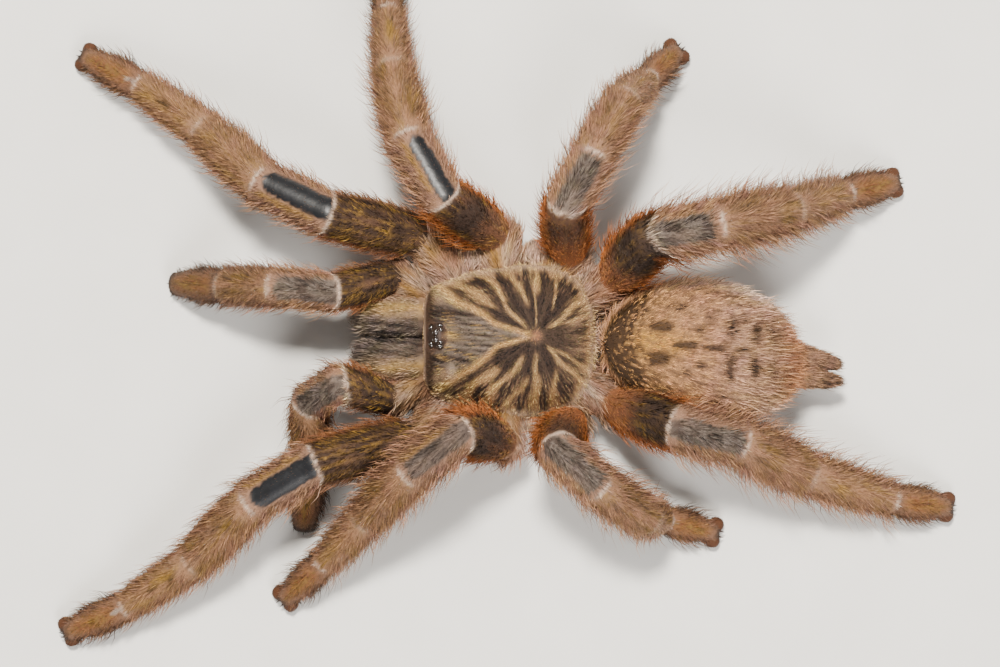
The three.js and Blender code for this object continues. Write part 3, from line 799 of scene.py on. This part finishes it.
def growCoat(name, own, hair, styleOf, flowOf, unwrapOf, material, slot, seed, source=None):
    points, surfaceNormals, triangles, faceRods, markSource = source or skinSource
    dice = np.random.default_rng(seed)
    triangles, faceRods = triangles[own], faceRods[own]
    below = surfaceNormals[triangles[:, 0], 2] < -0.5
    density = hair["under"] + hair["over"]
    roots, normals, chosen = scatter(points, surfaceNormals, triangles,
                                     np.where(below, hair.get("below", 0.55), 1.0) * density, seed + 100)
    marks = markSource(roots, normals, faceRods[chosen])
    keep = dice.random(len(roots)) > marks[5] * 0.8
    place = roots, normals, owner = roots[keep], normals[keep], faceRods[chosen][keep]
    marks, count = marks[:, keep], len(roots)
    polished = marks[5]
    length, lift, sparse = styleOf(*place)
    isLong = dice.random(count) < hair["over"] / density * (sparse * (1 - polished))
    length = length * (1 - 0.5 * polished) * dice.uniform(0.7, 1.1, count)
    lift = lift * (1 - 0.6 * polished) * dice.uniform(0.5, 1.3, count) * np.where(isLong, 1.25, 0.9)
    width = np.where(isLong, hair["thick"], hair["thin"]) * dice.uniform(0.8, 1.15, count)
    dice = np.random.default_rng(seed + 200)
    points, faces, owners, tips = hairMesh(roots, normals, flowOf(*place),
                                           length * np.where(isLong, hair.get("reach", 1.35), 0.85),
                                           lift, width, isLong, hair, dice)
    points[:, 2] = np.maximum(points[:, 2], 0.02)
    lock = 0.5 + 0.5 * ripple(roots, 1.5, seed + 201)
    attributes = packMarks(marks[:, owners])
    attributes["strand"] = together(tips, dice.random(count)[owners], lock[owners])
    sideways = 0.5 + np.resize([-0.5, 0, 0.5], len(tips)) * (tips < 1)
    uv = 0.01 + 0.97 * unwrapOf(*place)[owners] + together(sideways, tips) * 0.003
    makePiece(name, points, faces, material, slot, attributes, uv)
    print(name, count, "hairs,", len(faces), "triangles")


skinTriangles = np.concatenate([skinFaces[:, [0, 1, 2]], skinFaces[:, [0, 2, 3]]])
triangleRods = skinRods[skinTriangles[:, 0]]
skinSource = (skinPoints, skinNormals, skinTriangles, triangleRods, marksOf)
skinRegion = rodRegion[triangleRods]
# hair length over each part of a limb, femur to tarsus, coxa and tuft: on top and at the sides
lengthOnTop = np.array([0.85, 1.0, 1.15, 1.05, 0.6, 1.45, 0.24])
lengthAside = np.array([1.65, 1.95, 2.0, 1.75, 1.35, 1.6, 0.24])


# Each coat has a style (length, lift and share of long hairs), a flow and an unwrap.
def limbStyle(points, normals, owner):
    past, short, angle = limbPlace(points, owner)
    part, pair = rodPart[owner], pairOf[rodRegion[owner]]
    around = abs(angle)
    aside = ease(around, 0.7, 1.6)
    length = lengthOnTop[part] * (1 - aside) + lengthAside[part] * aside
    behind = aside * np.where(pair == 4, 1, np.where(pair > 1, 0.5, 0.15)) * ((part >= 1) & (part <= 3))
    length = length * (1 + 0.42 * behind) * np.where(pair == 0, 0.85, 1)
    length = length * np.where((part == 0) & (pair >= 2), 1 + 0.3 * aside, 1)
    length = length * np.where(part == 4, 0.42 + 0.85 * hump(past / rods["length"][owner], 0.4, 0.45), 1)
    atJoint = ease(abs(np.minimum(*jointPlace(points, owner))), 0.2, 1.3)
    length = length * np.where((part < 4) & (around < 1.4), 0.35 + 0.65 * atJoint, 1)
    lift = 0.27 + 0.24 * aside + 0.2 * behind + (part == 4) * (0.12 * aside - 0.04)
    return length, lift + 0.25 * (part == 6) - 0.06 * (part == 0), part != 6


def limbFlow(points, normals, owner):  # along the limb, turning into the next part near its end
    near, far = jointPlace(points, owner)
    following = np.minimum(owner + 1, len(rodRows) - 1)
    joined = (rodRegion[following] == rodRegion[owner]) & (rodPart[owner] < 4)
    bend = (0.5 * ease(far, 1.5, -0.5) * joined)[:, None]
    angle = limbPlace(points, owner)[2][:, None]
    aside = rods["side"][owner] * np.cos(angle) - rods["up"][owner] * np.sin(angle)
    spread = 0.5 * np.sin(2 * angle) * (abs(angle) < math.pi / 2)
    return unit(rods["along"][owner] * (1 - bend) + rods["along"][following] * bend + aside * spread)


def limbUnwrap(points, normals, owner):  # round the limb, and the parts one after another
    past, short, angle = limbPlace(points, owner)
    step = np.array([1, 2, 3, 4, 5, 0, 6])[rodPart[owner]]
    return together(angle / (2 * math.pi) + 0.5, (step + np.clip(past / rods["length"][owner], 0, 1)) / 7)


limbHair = {"under": 36, "over": 5.2, "thin": 0.07, "thick": 0.086, "below": 0.42, "reach": 1.7}
legFur = makeFur("legFur")
for index, name in enumerate(limbNames):
    growCoat(f"coat_{name}", skinRegion == index, limbHair, limbStyle, limbFlow, limbUnwrap, legFur,
             "leg_hair", 1000 + 7 * index)


def abdomenStyle(points, normals, owner):
    x, spinneret = points[:, 0], rodPart[owner] == partOf["spinneret"]
    rear, front, side = ease(x, 24, 32), ease(x, 15, 12), ease(normals[:, 2], 0.6, 0.0)
    middle = ease(x, 27, 17) * (1 - side)
    length = 0.95 + 0.75 * np.maximum(rear, 1.1 * side) - 0.15 * front - 0.35 * middle
    lift = 0.2 + 0.14 * rear + 0.34 * side + 0.5 * ease(normals[:, 0], 0.4, 0.85)
    return np.where(spinneret, 1.0, length), np.where(spinneret, 0.3, lift), np.where(spinneret, 0.6, 1)


def abdomenFlow(points, normals, owner):  # backward, and a little outward over the sides
    spinneret = (rodPart[owner] == partOf["spinneret"])[:, None]
    return unit(np.where(spinneret, rods["along"][owner], together(1, (points[:, 1] + 2) * 0.03, -0.1)))


def abdomenUnwrap(points, normals, owner):  # longitude round the long axis, and distance along it
    ball = abdomenShares(points)
    turn = np.arctan2(ball[:, 1], ball[:, 2]) / (2 * math.pi) + 0.5
    return together(turn, np.clip((points[:, 0] - 9) / 31, 0, 1))


abdomenHair = {"under": 48, "over": 4.5, "thin": 0.072, "thick": 0.09, "below": 0.5, "reach": 1.5,
               "sway": 0.07, "stray": 0.9}
abdomenFur = makeFur("abdomenFur", root=0.42, ground=paint(226, 168, 126), gold=paint(240, 172, 84),
                     dark=paint(26, 14, 6))
growCoat("coat_abdomen", skinRegion == abdomenRegion, abdomenHair, abdomenStyle, abdomenFlow, abdomenUnwrap,
         abdomenFur, "abdomen_hair", 2000)


def jawStyle(points, normals, owner):
    front = ease(points[:, 0], -12.5, -15.5)
    return 0.8 + 0.85 * front, 0.2 + 0.27 * front, 1


def jawFlow(points, normals, owner):
    return rods["along"][owner]


def jawUnwrap(points, normals, owner):
    past, short, angle = limbPlace(points, owner)
    turn = angle / (2 * math.pi) + 0.5
    return together((turn + (points[:, 1] > middleY)) / 2, np.clip((past + 2) / 11, 0, 1))


jawHair = {"under": 45, "over": 8, "thin": 0.085, "thick": 0.11}
jawFur = makeFur("jawFur", ground=paint(180, 138, 114), gold=paint(190, 154, 96), dark=paint(54, 48, 46),
                 slate=paint(136, 124, 112), rust=paint(150, 74, 36))
ahead = skinPoints[skinTriangles[:, 0], 0] < -8.9  # the rest is under the shield
growCoat("coat_chelicerae", (skinRegion == jawRegion) & ahead, jawHair, jawStyle, jawFlow, jawUnwrap, jawFur,
         "chelicera_hair", 2300)


def baseStyle(points, normals, owner):
    rear = ease(points[:, 0], 7, 10.5)
    return 1.0 + 0.25 * rear, 0.4 + 0.1 * rear, 1


def baseFlow(points, normals, owner):  # outward from the middle line and backward
    return unit(together(0.7, points[:, 1] - middleY, -0.2))


def baseUnwrap(points, normals, owner):  # round the long axis and along it
    x, y, z = points.T
    return together(np.arctan2(y - middleY, z - 5.5) / (2 * math.pi) + 0.5, np.clip((x + 10) / 26, 0, 1))


baseHair = {"under": 28, "over": 6, "thin": 0.1, "thick": 0.12, "below": 1}
growCoat("coat_base", skinRegion == baseRegion, baseHair, baseStyle, baseFlow, baseUnwrap, legFur,
         "skin", 2600)

shieldSettings = {"length": 20.1, "width": 17.9, "narrowing": 0.295, "front": -9.0, "widest": 2.9, "rim": 8.0,
                  "middle": -0.8, "height": 4.6, "depth": 0.8, "inset": 0.28, "frontPower": 8,
                  "rearPower": 2.8, "sectors": 260, "rings": 84}
frontLength = shieldSettings["widest"] - shieldSettings["front"]
rearLength = shieldSettings["length"] - frontLength
fovea = np.array([4.05, -0.25])
eyeMiddle = np.array([-7.1, -0.28])
# pale rays about the fovea: angle near it and far out, half width in mm near it and far out, how clear, start
rays = [
    (144, 146, 0.2, 0.5, 0.8, 5), (140, 129, 0.17, 0.3, 1, 0.8), (103, 114, 0.1, 0.42, 0.85, 3),
    (90, 90, 0.08, 0.1, 0.8, 0.5), (90, 90, 0.4, 0.45, 0.9, 4.2), (58, 74, 0.1, 0.2, 0.8, 3),
    (32, 40, 0.17, 0.6, 1, 1.2), (24, 21, 0.1, 0.35, 0.7, 2.5), (-35, -30, 0.12, 0.3, 0.8, 2),
    (-45, -46, 0.17, 0.42, 1, 1.2), (-60, -78, 0.12, 0.42, 0.85, 4), (-88, -91, 0.12, 0.5, 0.9, 1.5),
    (-101, -111, 0.14, 0.36, 0.8, 4.2), (-119, -128, 0.18, 0.44, 1, 2.2),
    (-139, -140, 0.25, 0.5, 0.95, 5),
]
# dark lobes between them: angle and half width in degrees
lobes = [(151, 4), (136, 3), (121, 4), (100, 5), (82, 4), (56, 8), (-63, 8), (-83, 4), (-103, 6),
         (-119, 4), (-133, 4), (-148, 4)]
# furrows pressed into the shield, in degrees
furrows = (127, 92, 55, 22, -22, -55, -92, -127)
# the two lines that part the head from the rest: distance from the fovea and angle
headLines = {1: ([0, 2.3, 4.6, 6.1, 7.7, 9.1, 11.8, 14], [170, 165, 164, 158, 157, 157, 153, 150]),
             -1: ([0, 2.3, 4.4, 5.6, 7.8, 10.2, 12, 14], [168, 166, 165, 158, 153.5, 152.5, 151, 149])}


def outline(along):  # the oval's power and its width's share, blunt in front and narrowing to it
    power = np.where(along < 0, shieldSettings["frontPower"], shieldSettings["rearPower"])
    return power, np.where(along < 0, 1 - shieldSettings["narrowing"] * abs(along) ** 1.6, 1)


def shieldPoints(turn, polar):  # a blunt-fronted oval, domed over the sine and cosine of polar
    settings, inset = shieldSettings, shieldSettings["inset"]
    cosine, sine = np.cos(turn), np.sin(turn)
    power, taper = outline(cosine)
    size = (abs(cosine) ** power + abs(sine) ** power) ** (1 / power)
    along, across = cosine / size, sine / size
    taper = outline(along)[1]
    halfLength = np.where(cosine < 0, frontLength, rearLength) - inset
    reach, rise = np.sin(polar), np.cos(polar)
    spread = reach ** 0.9
    height = settings["height"] * (1 - 0.15 * along * reach) - inset
    flatness = 1.5 - 0.7 * ease(-cosine, 0.5, 0.9)
    dome = np.where(rise > 0, height, settings["depth"] - inset) * np.sign(rise) * abs(rise) ** flatness
    return together(settings["widest"] + halfLength * along * spread,
                    settings["middle"] + (settings["width"] / 2 * taper - inset) * across * spread,
                    settings["rim"] + dome)


def aboutFovea(points):
    x, y = (points[:, :2] - fovea).T
    return np.hypot(x, y), np.degrees(np.arctan2(y, x))


def fromEyes(points, long, wide):  # an oval distance from the middle of the eye mound
    return np.hypot((points[:, 0] - eyeMiddle[0]) / long, (points[:, 1] - eyeMiddle[1]) / wide)


def headLine(radius, angle):  # distance in mm outside the nearer head line, negative on the head
    line = np.where(angle > 0, np.interp(radius, *headLines[1]), np.interp(radius, *headLines[-1]))
    return np.radians(line - abs(angle)) * radius


def relief(points):  # furrows along the rays, a pit at the fovea and a swollen head
    radius, angle = aboutFovea(points)
    beyondLine = headLine(radius, angle)
    depth = 0.24 * hump(beyondLine, 0, 0.42) * ease(radius, 0.4, 2.5) * ease(radius, 12.5, 9)
    for way in furrows:
        aside = np.radians(angle - way) * radius
        depth = depth + 0.13 * hump(aside, 0, 0.5) * ease(radius, 0.6, 2.2) * ease(radius, 8.5, 5.5)
    pit = 0.5 * hump(points[:, 0], fovea[0], 0.45) * hump(points[:, 1], fovea[1], 0.9)
    swell = 0.22 * ease(beyondLine, 0, -1.6) * ease(radius, 2, 7) + 0.75 * ease(points[:, 0], -4.5, -7.6)
    return swell + ease(fromEyes(points, 1.35, 1.75), 1, 0.25) - depth - pit


def rimShare(points):  # 1 on the rim and 0 at the middle
    along = points[:, 0] - shieldSettings["widest"]
    along = np.clip(along / np.where(along < 0, frontLength, rearLength), -1, 1)
    power, taper = outline(along)
    aside = abs(points[:, 1] - shieldSettings["middle"]) / (shieldSettings["width"] / 2 * taper)
    return (abs(along) ** power + aside ** power) ** (1 / power)


def shieldMarks(points, normals, owner):
    marks = np.zeros((6, len(points)))
    pale, gold, dark, rust, slate, bare = marks
    x, y, z = points.T
    radius, angle = aboutFovea(points)
    rim = rimShare(points)
    beyondLine = headLine(radius, angle)
    polar = together(np.radians(angle) * 7, radius * 0.35)
    fray = 0.7 * ripple(polar, 1.3, 61) + 0.7 * ripple(polar * [3.0, 1.2], 1.1, 62)
    feather = ripple(polar * [5, 1.2], 1.0, 65)
    speck = ripple(points[:, :2], 0.5, 63)
    outside = ease(beyondLine, 0, 0.25)
    onHead = 1 - outside

    # the star: pale rays and dark lobes about the fovea
    ray = 0
    for near, far, thin, wide, strength, start in rays:
        centre = near + (far - near) * ease(radius, start, 8) + 1.2 * np.sin(radius * 1.4 + near)
        half = 0.85 * (thin + (wide - thin) * np.clip(radius / 8, 0, 1)) * (1 + 0.5 * np.clip(fray, -1, 1))
        aside = np.radians((angle - centre + 180) % 360 - 180) * radius
        ray = np.maximum(ray, strength * hump(aside, 0, half) * ease(radius, start, start + 1.2))
    lobe = sum(hump((angle - way + 180) % 360 - 180, 0, half) for way, half in lobes)
    edge = ease(rim + 0.05 * fray - 0.06 * lobe, 0.79, 0.9)
    rearward = ease(abs(angle), 34, 20) * ease(radius, 2.5, 5.5) * np.clip(0.3 + 0.5 * fray, 0, 0.7)
    loose = np.clip(0.45 * feather, 0, 1) * ease(radius, 3.5, 7.5) + rearward
    # the dark lobes broken by paler streaks toward the lower (-y) side: painted light against the shade there
    below = ease(y, -3, -6) * np.clip(0.6 * ripple(polar * [2.4, 1.1], 1.0, 67), 0, 0.4)
    star = outside * (1 - edge)
    dark += star * np.clip(0.93 + 0.2 * lobe - loose - below, 0.25, 1) * (1 - 0.95 * ray)
    slate += star * 0.35 * ease(radius, 7, 3)
    gold += star * 0.5 * ray + outside * edge * 0.25

    # its margin: dark flecks, a pale line along the rim, and paler toward the lower (-y) side as painted
    # light against the shade there
    dark += outside * edge * ease(rim, 0.98, 0.88) * np.clip(0.7 * speck - 0.25 + 0.3 * feather, 0, 1) * 0.8
    paintedLightBelow = ease(y, -4, -7)
    pale += outside * (hump(rim, 0.95, 0.05) * (0.4 + 0.2 * paintedLightBelow) + ease(rim, 0.93, 0.97) * paintedLightBelow * 0.4)

    # the head: fine lines, a dark band in front, blotches by the eyes, pale corners, gold behind the eyes
    level = y + 0.3
    lines = ripple(together(x * 0.25, y * 2.4), 1.0, 64)
    threads = ripple(together(x * 0.3, y * 2.0), 0.8, 66)
    band = ease(x, -7.1, -7.9)
    streaks = hump(abs(level), 2.5, 0.6) * ease(x, -2.2, -3.6)
    blotches = hump(x, -6.4, 1.4) * hump(y, 2.4, 1.0) + hump(x, -7.0, 0.9) * hump(y, -3.6, 1.5)
    slate += onHead * (0.9 - 0.6 * band)
    dark += onHead * (np.clip(0.4 + 0.5 * lines + 0.45 * streaks, 0, 1) * (1 - band) + 0.78 * band)
    dark += onHead * blotches * np.clip(0.45 + 0.5 * speck, 0, 0.8)
    gold += onHead * np.clip(0.9 * threads - 0.45, 0, 0.45) * (1 - band)
    corner = ease(abs(level), 3.0, 4.4) * ease(x, -2.5, -4.5) * (1 - band)
    dark *= 1 - 0.75 * onHead * corner * np.clip(0.7 + 0.6 * lines, 0, 1)
    slate *= 1 - 0.6 * corner
    pale += onHead * hump(x, -5.4, 0.5) * hump(y, -4.3, 0.9) * 0.5
    golden = hump(x, -5.3, 1.0) * hump(level, 0, 0.7)

    # the head lines, the fovea and the rim's line
    border = hump(beyondLine + 0.06 * fray, 0, 0.2 + 0.02 * radius) * ease(radius, 0.3, 1.2)
    gold += golden * np.clip(0.6 + 0.5 * threads, 0, 1) * 0.7 + border * 0.6
    pale += hump(radius, 0, 0.5) * 0.1
    rust += onHead * band * 0.3
    rust += np.clip(hump(radius, 0, 0.6) * 1.2 + golden * 0.4 + border * 0.3 * hump(radius, 5.5, 2), 0, 1)
    dark *= 1 - 0.9 * np.clip(border + hump(radius, 0, 0.5), 0, 1)
    slate *= 1 - np.clip(border + hump(radius, 0, 0.6), 0, 1)
    ahead = x < -7
    rimLine = ease(rim, np.where(ahead, 0.945, 0.955), np.where(ahead, 0.965, 1.0))
    pale += rimLine * 0.6
    rust += rimLine * ahead * 0.3
    dark *= 1 - rimLine

    # the dark eye mound with a gold tuft behind it
    tuft = hump(x, eyeMiddle[0] + 1.1, 0.5) * hump(y, eyeMiddle[1], 0.45)
    onMound = ease(fromEyes(points, 1.3, 1.7), 1.1, 0.8) * (1 - tuft)
    np.maximum(dark, 0.9 * onMound, out=dark)
    rust += 0.3 * onMound
    bare += 0.5 * onMound
    for mark in (gold, pale, slate):
        mark *= 1 - onMound
    return np.clip(marks, 0, 1)


def closedFaces(rings, columns):  # rings of points one after another, then the two end points
    row, column = np.meshgrid(np.arange(rings - 1) * columns, np.arange(columns), indexing="ij")
    after = (column + 1) % columns
    quads = together(row + column, row + columns + column, row + columns + after, row + after).reshape(-1, 4)
    ring, nextOne, last = np.arange(columns), after[0], (rings - 1) * columns
    first = together(rings * columns, ring, nextOne)
    final = together(rings * columns + 1, last + nextOne, last + ring)
    return np.concatenate([quads[:, [0, 1, 2]], quads[:, [0, 2, 3]], first, final])


def domed(shape, columns, rows):  # a closed shape over turn and polar angle, from pole to pole
    turns = np.linspace(0, 2 * math.pi, columns, endpoint=False)
    polars = math.pi * np.arange(1, rows) / rows
    points = [shape(turns, polar) for polar in polars] + [shape(np.zeros(1), end) for end in (0.0, math.pi)]
    return np.concatenate(points), closedFaces(rows - 1, columns)


topPoints, topTriangles = domed(shieldPoints, shieldSettings["sectors"], shieldSettings["rings"])
rising = ease(rimShare(topPoints), 1.0, np.where(topPoints[:, 0] < -6, 0.965, 0.9))
topPoints[:, 2] += relief(topPoints) * (topPoints[:, 2] > shieldSettings["rim"] - 0.05) * rising
topNormals = normalsOf(topPoints, topTriangles)
shieldSkin = makePiece("shield", topPoints, topTriangles, skinMaterial, "carapace_hair",
                       packMarks(shieldMarks(topPoints, topNormals, None)))
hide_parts("carapace")


def shieldStyle(points, normals, owner):
    x = points[:, 0]
    edge = ease(rimShare(points), 0.93, 1.0) * ease(x, -8.2, -7.2)
    byEyes = 0.35 + 0.65 * ease(fromEyes(points, 1.5, 1.9), 0.8, 1.1)
    return (0.5 + 0.2 * edge - 0.2 * ease(x, -7.4, -8.2)) * byEyes, 0.24 + 0.06 * edge, 1


def shieldFlow(points, normals, owner):  # away from the fovea
    return unit((points - [*fovea, 0]) * onFloor)


def shieldUnwrap(points, normals, owner):  # the angle about the middle, and the distance out over the dome
    turn = np.arctan2(points[:, 1] - shieldSettings["middle"], points[:, 0] - 1.1) / (2 * math.pi) + 0.5
    return together(turn, np.clip(rimShare(points), 0, 1))


shieldHair = {"under": 96, "over": 6, "thin": 0.066, "thick": 0.08, "stray": 1.3, "reach": 1.5, "sway": 0.08}
shieldFur = makeFur("shieldFur", root=0.32, ground=paint(246, 208, 148), gold=paint(254, 208, 130),
                    dark=paint(16, 15, 15), slate=paint(106, 101, 94), pale=paint(255, 216, 174),
                    rust=paint(234, 150, 88))
onTop = topPoints[topTriangles].mean(axis=1)[:, 2] > shieldSettings["rim"] - 0.25
growCoat("coat_carapace", onTop, shieldHair, shieldStyle, shieldFlow, shieldUnwrap, shieldFur,
         "carapace_hair", 3000,
         (topPoints, topNormals, topTriangles, np.zeros(len(topTriangles), int), shieldMarks))

lensSettings = [  # forward, aside, radius along, across and tall, in mm from the middle of the eye mound
    (-0.2, 0.44, 0.42, 0.42, 0.36), (-0.68, 1.0, 0.36, 0.46, 0.34), (0.3, 1.2, 0.4, 0.34, 0.32),
    (0.44, 0.72, 0.28, 0.26, 0.24),
]
fangSettings = {"start": (-15.2, 2.5, 4.1), "length": 6.2, "bow": 1.1, "inward": 0.5, "radius": 0.7}
clawSettings = {"length": 0.75, "radius": 0.13, "apart": 0.32, "height": 1.55, "forward": 0.75, "drop": 0.75}


def joinPieces(name, pieces, material, slot):
    starts = np.cumsum([0] + [len(points) for points, faces in pieces])
    faces = np.concatenate([faces + start for (points, faces), start in zip(pieces, starts)])
    return makePiece(name, np.concatenate([points for points, faces in pieces]), faces, material, slot)


def ballPoints(turn, polar):  # a ball of radius 1
    return together(np.sin(polar) * np.cos(turn), np.sin(polar) * np.sin(turn), np.cos(polar))


def makeEyes():  # eight flattened balls set into the shield
    ball, triangles = domed(ballPoints, 24, 14)
    lenses = []
    for forward, aside, long, wide, tall in lensSettings:
        for side in (-1, 1):
            x, y = eyeMiddle + [forward, side * aside]
            far = np.hypot(topPoints[:, 0] - x, topPoints[:, 1] - y)
            nearest = np.argmin(np.where(topPoints[:, 2] < shieldSettings["rim"], 99, far))
            height, normal = topPoints[nearest, 2], topNormals[nearest]
            across = unit(np.cross(normal, [1, 0, 0]))
            axes = np.stack([np.cross(across, normal) * long, across * wide, normal * tall])
            lenses.append((np.array([x, y, height]) - normal * 0.02 + ball @ axes, triangles))
    glass = makeMottled("eyeGlass", 0.4, (8, 7, 8), (46, 34, 26), 0.16, 0.08, Specular_IOR_Level=0.9,
                        Coat_Weight=0.9, Coat_Roughness=0.14)
    eyes = joinPieces("eyes", lenses, glass, "eye")
    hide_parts("eye_tubercle")


def hornTube(path, radii, columns):  # a tapered tube along a path, closed at both ends
    ahead = unit(np.gradient(path, axis=0))
    across = unit(np.cross(ahead, [0, 0, 1.0]))
    turn = np.linspace(0, 2 * math.pi, columns, endpoint=False)[:, None]
    ring = across[:, None] * np.cos(turn) + np.cross(across, ahead)[:, None] * np.sin(turn)
    points = (path[:, None] + ring * radii[:, None, None]).reshape(-1, 3)
    ends = [path[0] - ahead[0] * radii[0] * 0.5, path[-1] + ahead[-1] * radii[-1]]
    return np.concatenate([points, ends]), closedFaces(len(path), columns)[:, ::-1]


def makeFangs(material):  # tubes that bow down as half a sine wave and come to a point
    settings, share = fangSettings, np.linspace(0, 1, 26)
    x, y, z = settings["start"]
    tubes = []
    for side in (1, -1):
        path = together(x + settings["length"] * share, middleY + side * (y - settings["inward"] * share),
                        z - settings["bow"] * np.sin(math.pi * share) - 0.5 * share)
        tubes.append(hornTube(path, settings["radius"] * (1 - share) ** 0.75 + 0.03, 20))
    fangs = joinPieces("fangs", tubes, material, "horn")
    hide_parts("fang_right", "fang_left")


def makeClaws(material):  # two on each leg and one on each palp, dropping with the square of the way along
    settings, share = clawSettings, np.linspace(0, 1, 9)
    tubes = []
    for limb in limbs:
        tip, ahead, across = footAxes(limb)
        for side in (-1, 1) if limb["pair"] else (0,):
            start = tip + ahead * settings["forward"] + across * side * settings["apart"]
            path = start + ahead * (settings["length"] * share)[:, None]
            path[:, 2] = settings["height"] - settings["drop"] * share ** 2
            tubes.append(hornTube(path, settings["radius"] * (1 - share) ** 0.8 + 0.02, 8))
    joinPieces("claws", tubes, material, "horn")


makeEyes()
blackHorn = makeMottled("blackHorn", 0.6, (16, 11, 9), (58, 28, 17), 0.16, 0.16, Specular_IOR_Level=0.6)
makeFangs(blackHorn)
makeClaws(blackHorn)
print("eyes, fangs and claws made")

floorSettings = {"size": 900}
paleFloor = makeMottled("paleFloor", 9, (206, 204, 199), (216, 214, 210), 0.7, 0.1, Specular_IOR_Level=0.2)
corners = np.array([[-1, -1, 0], [1, -1, 0], [1, 1, 0], [-1, 1, 0]]) * floorSettings["size"] / 2
floor = makePiece("floor", corners, np.array([[0, 1, 2, 3]]), paleFloor, None)
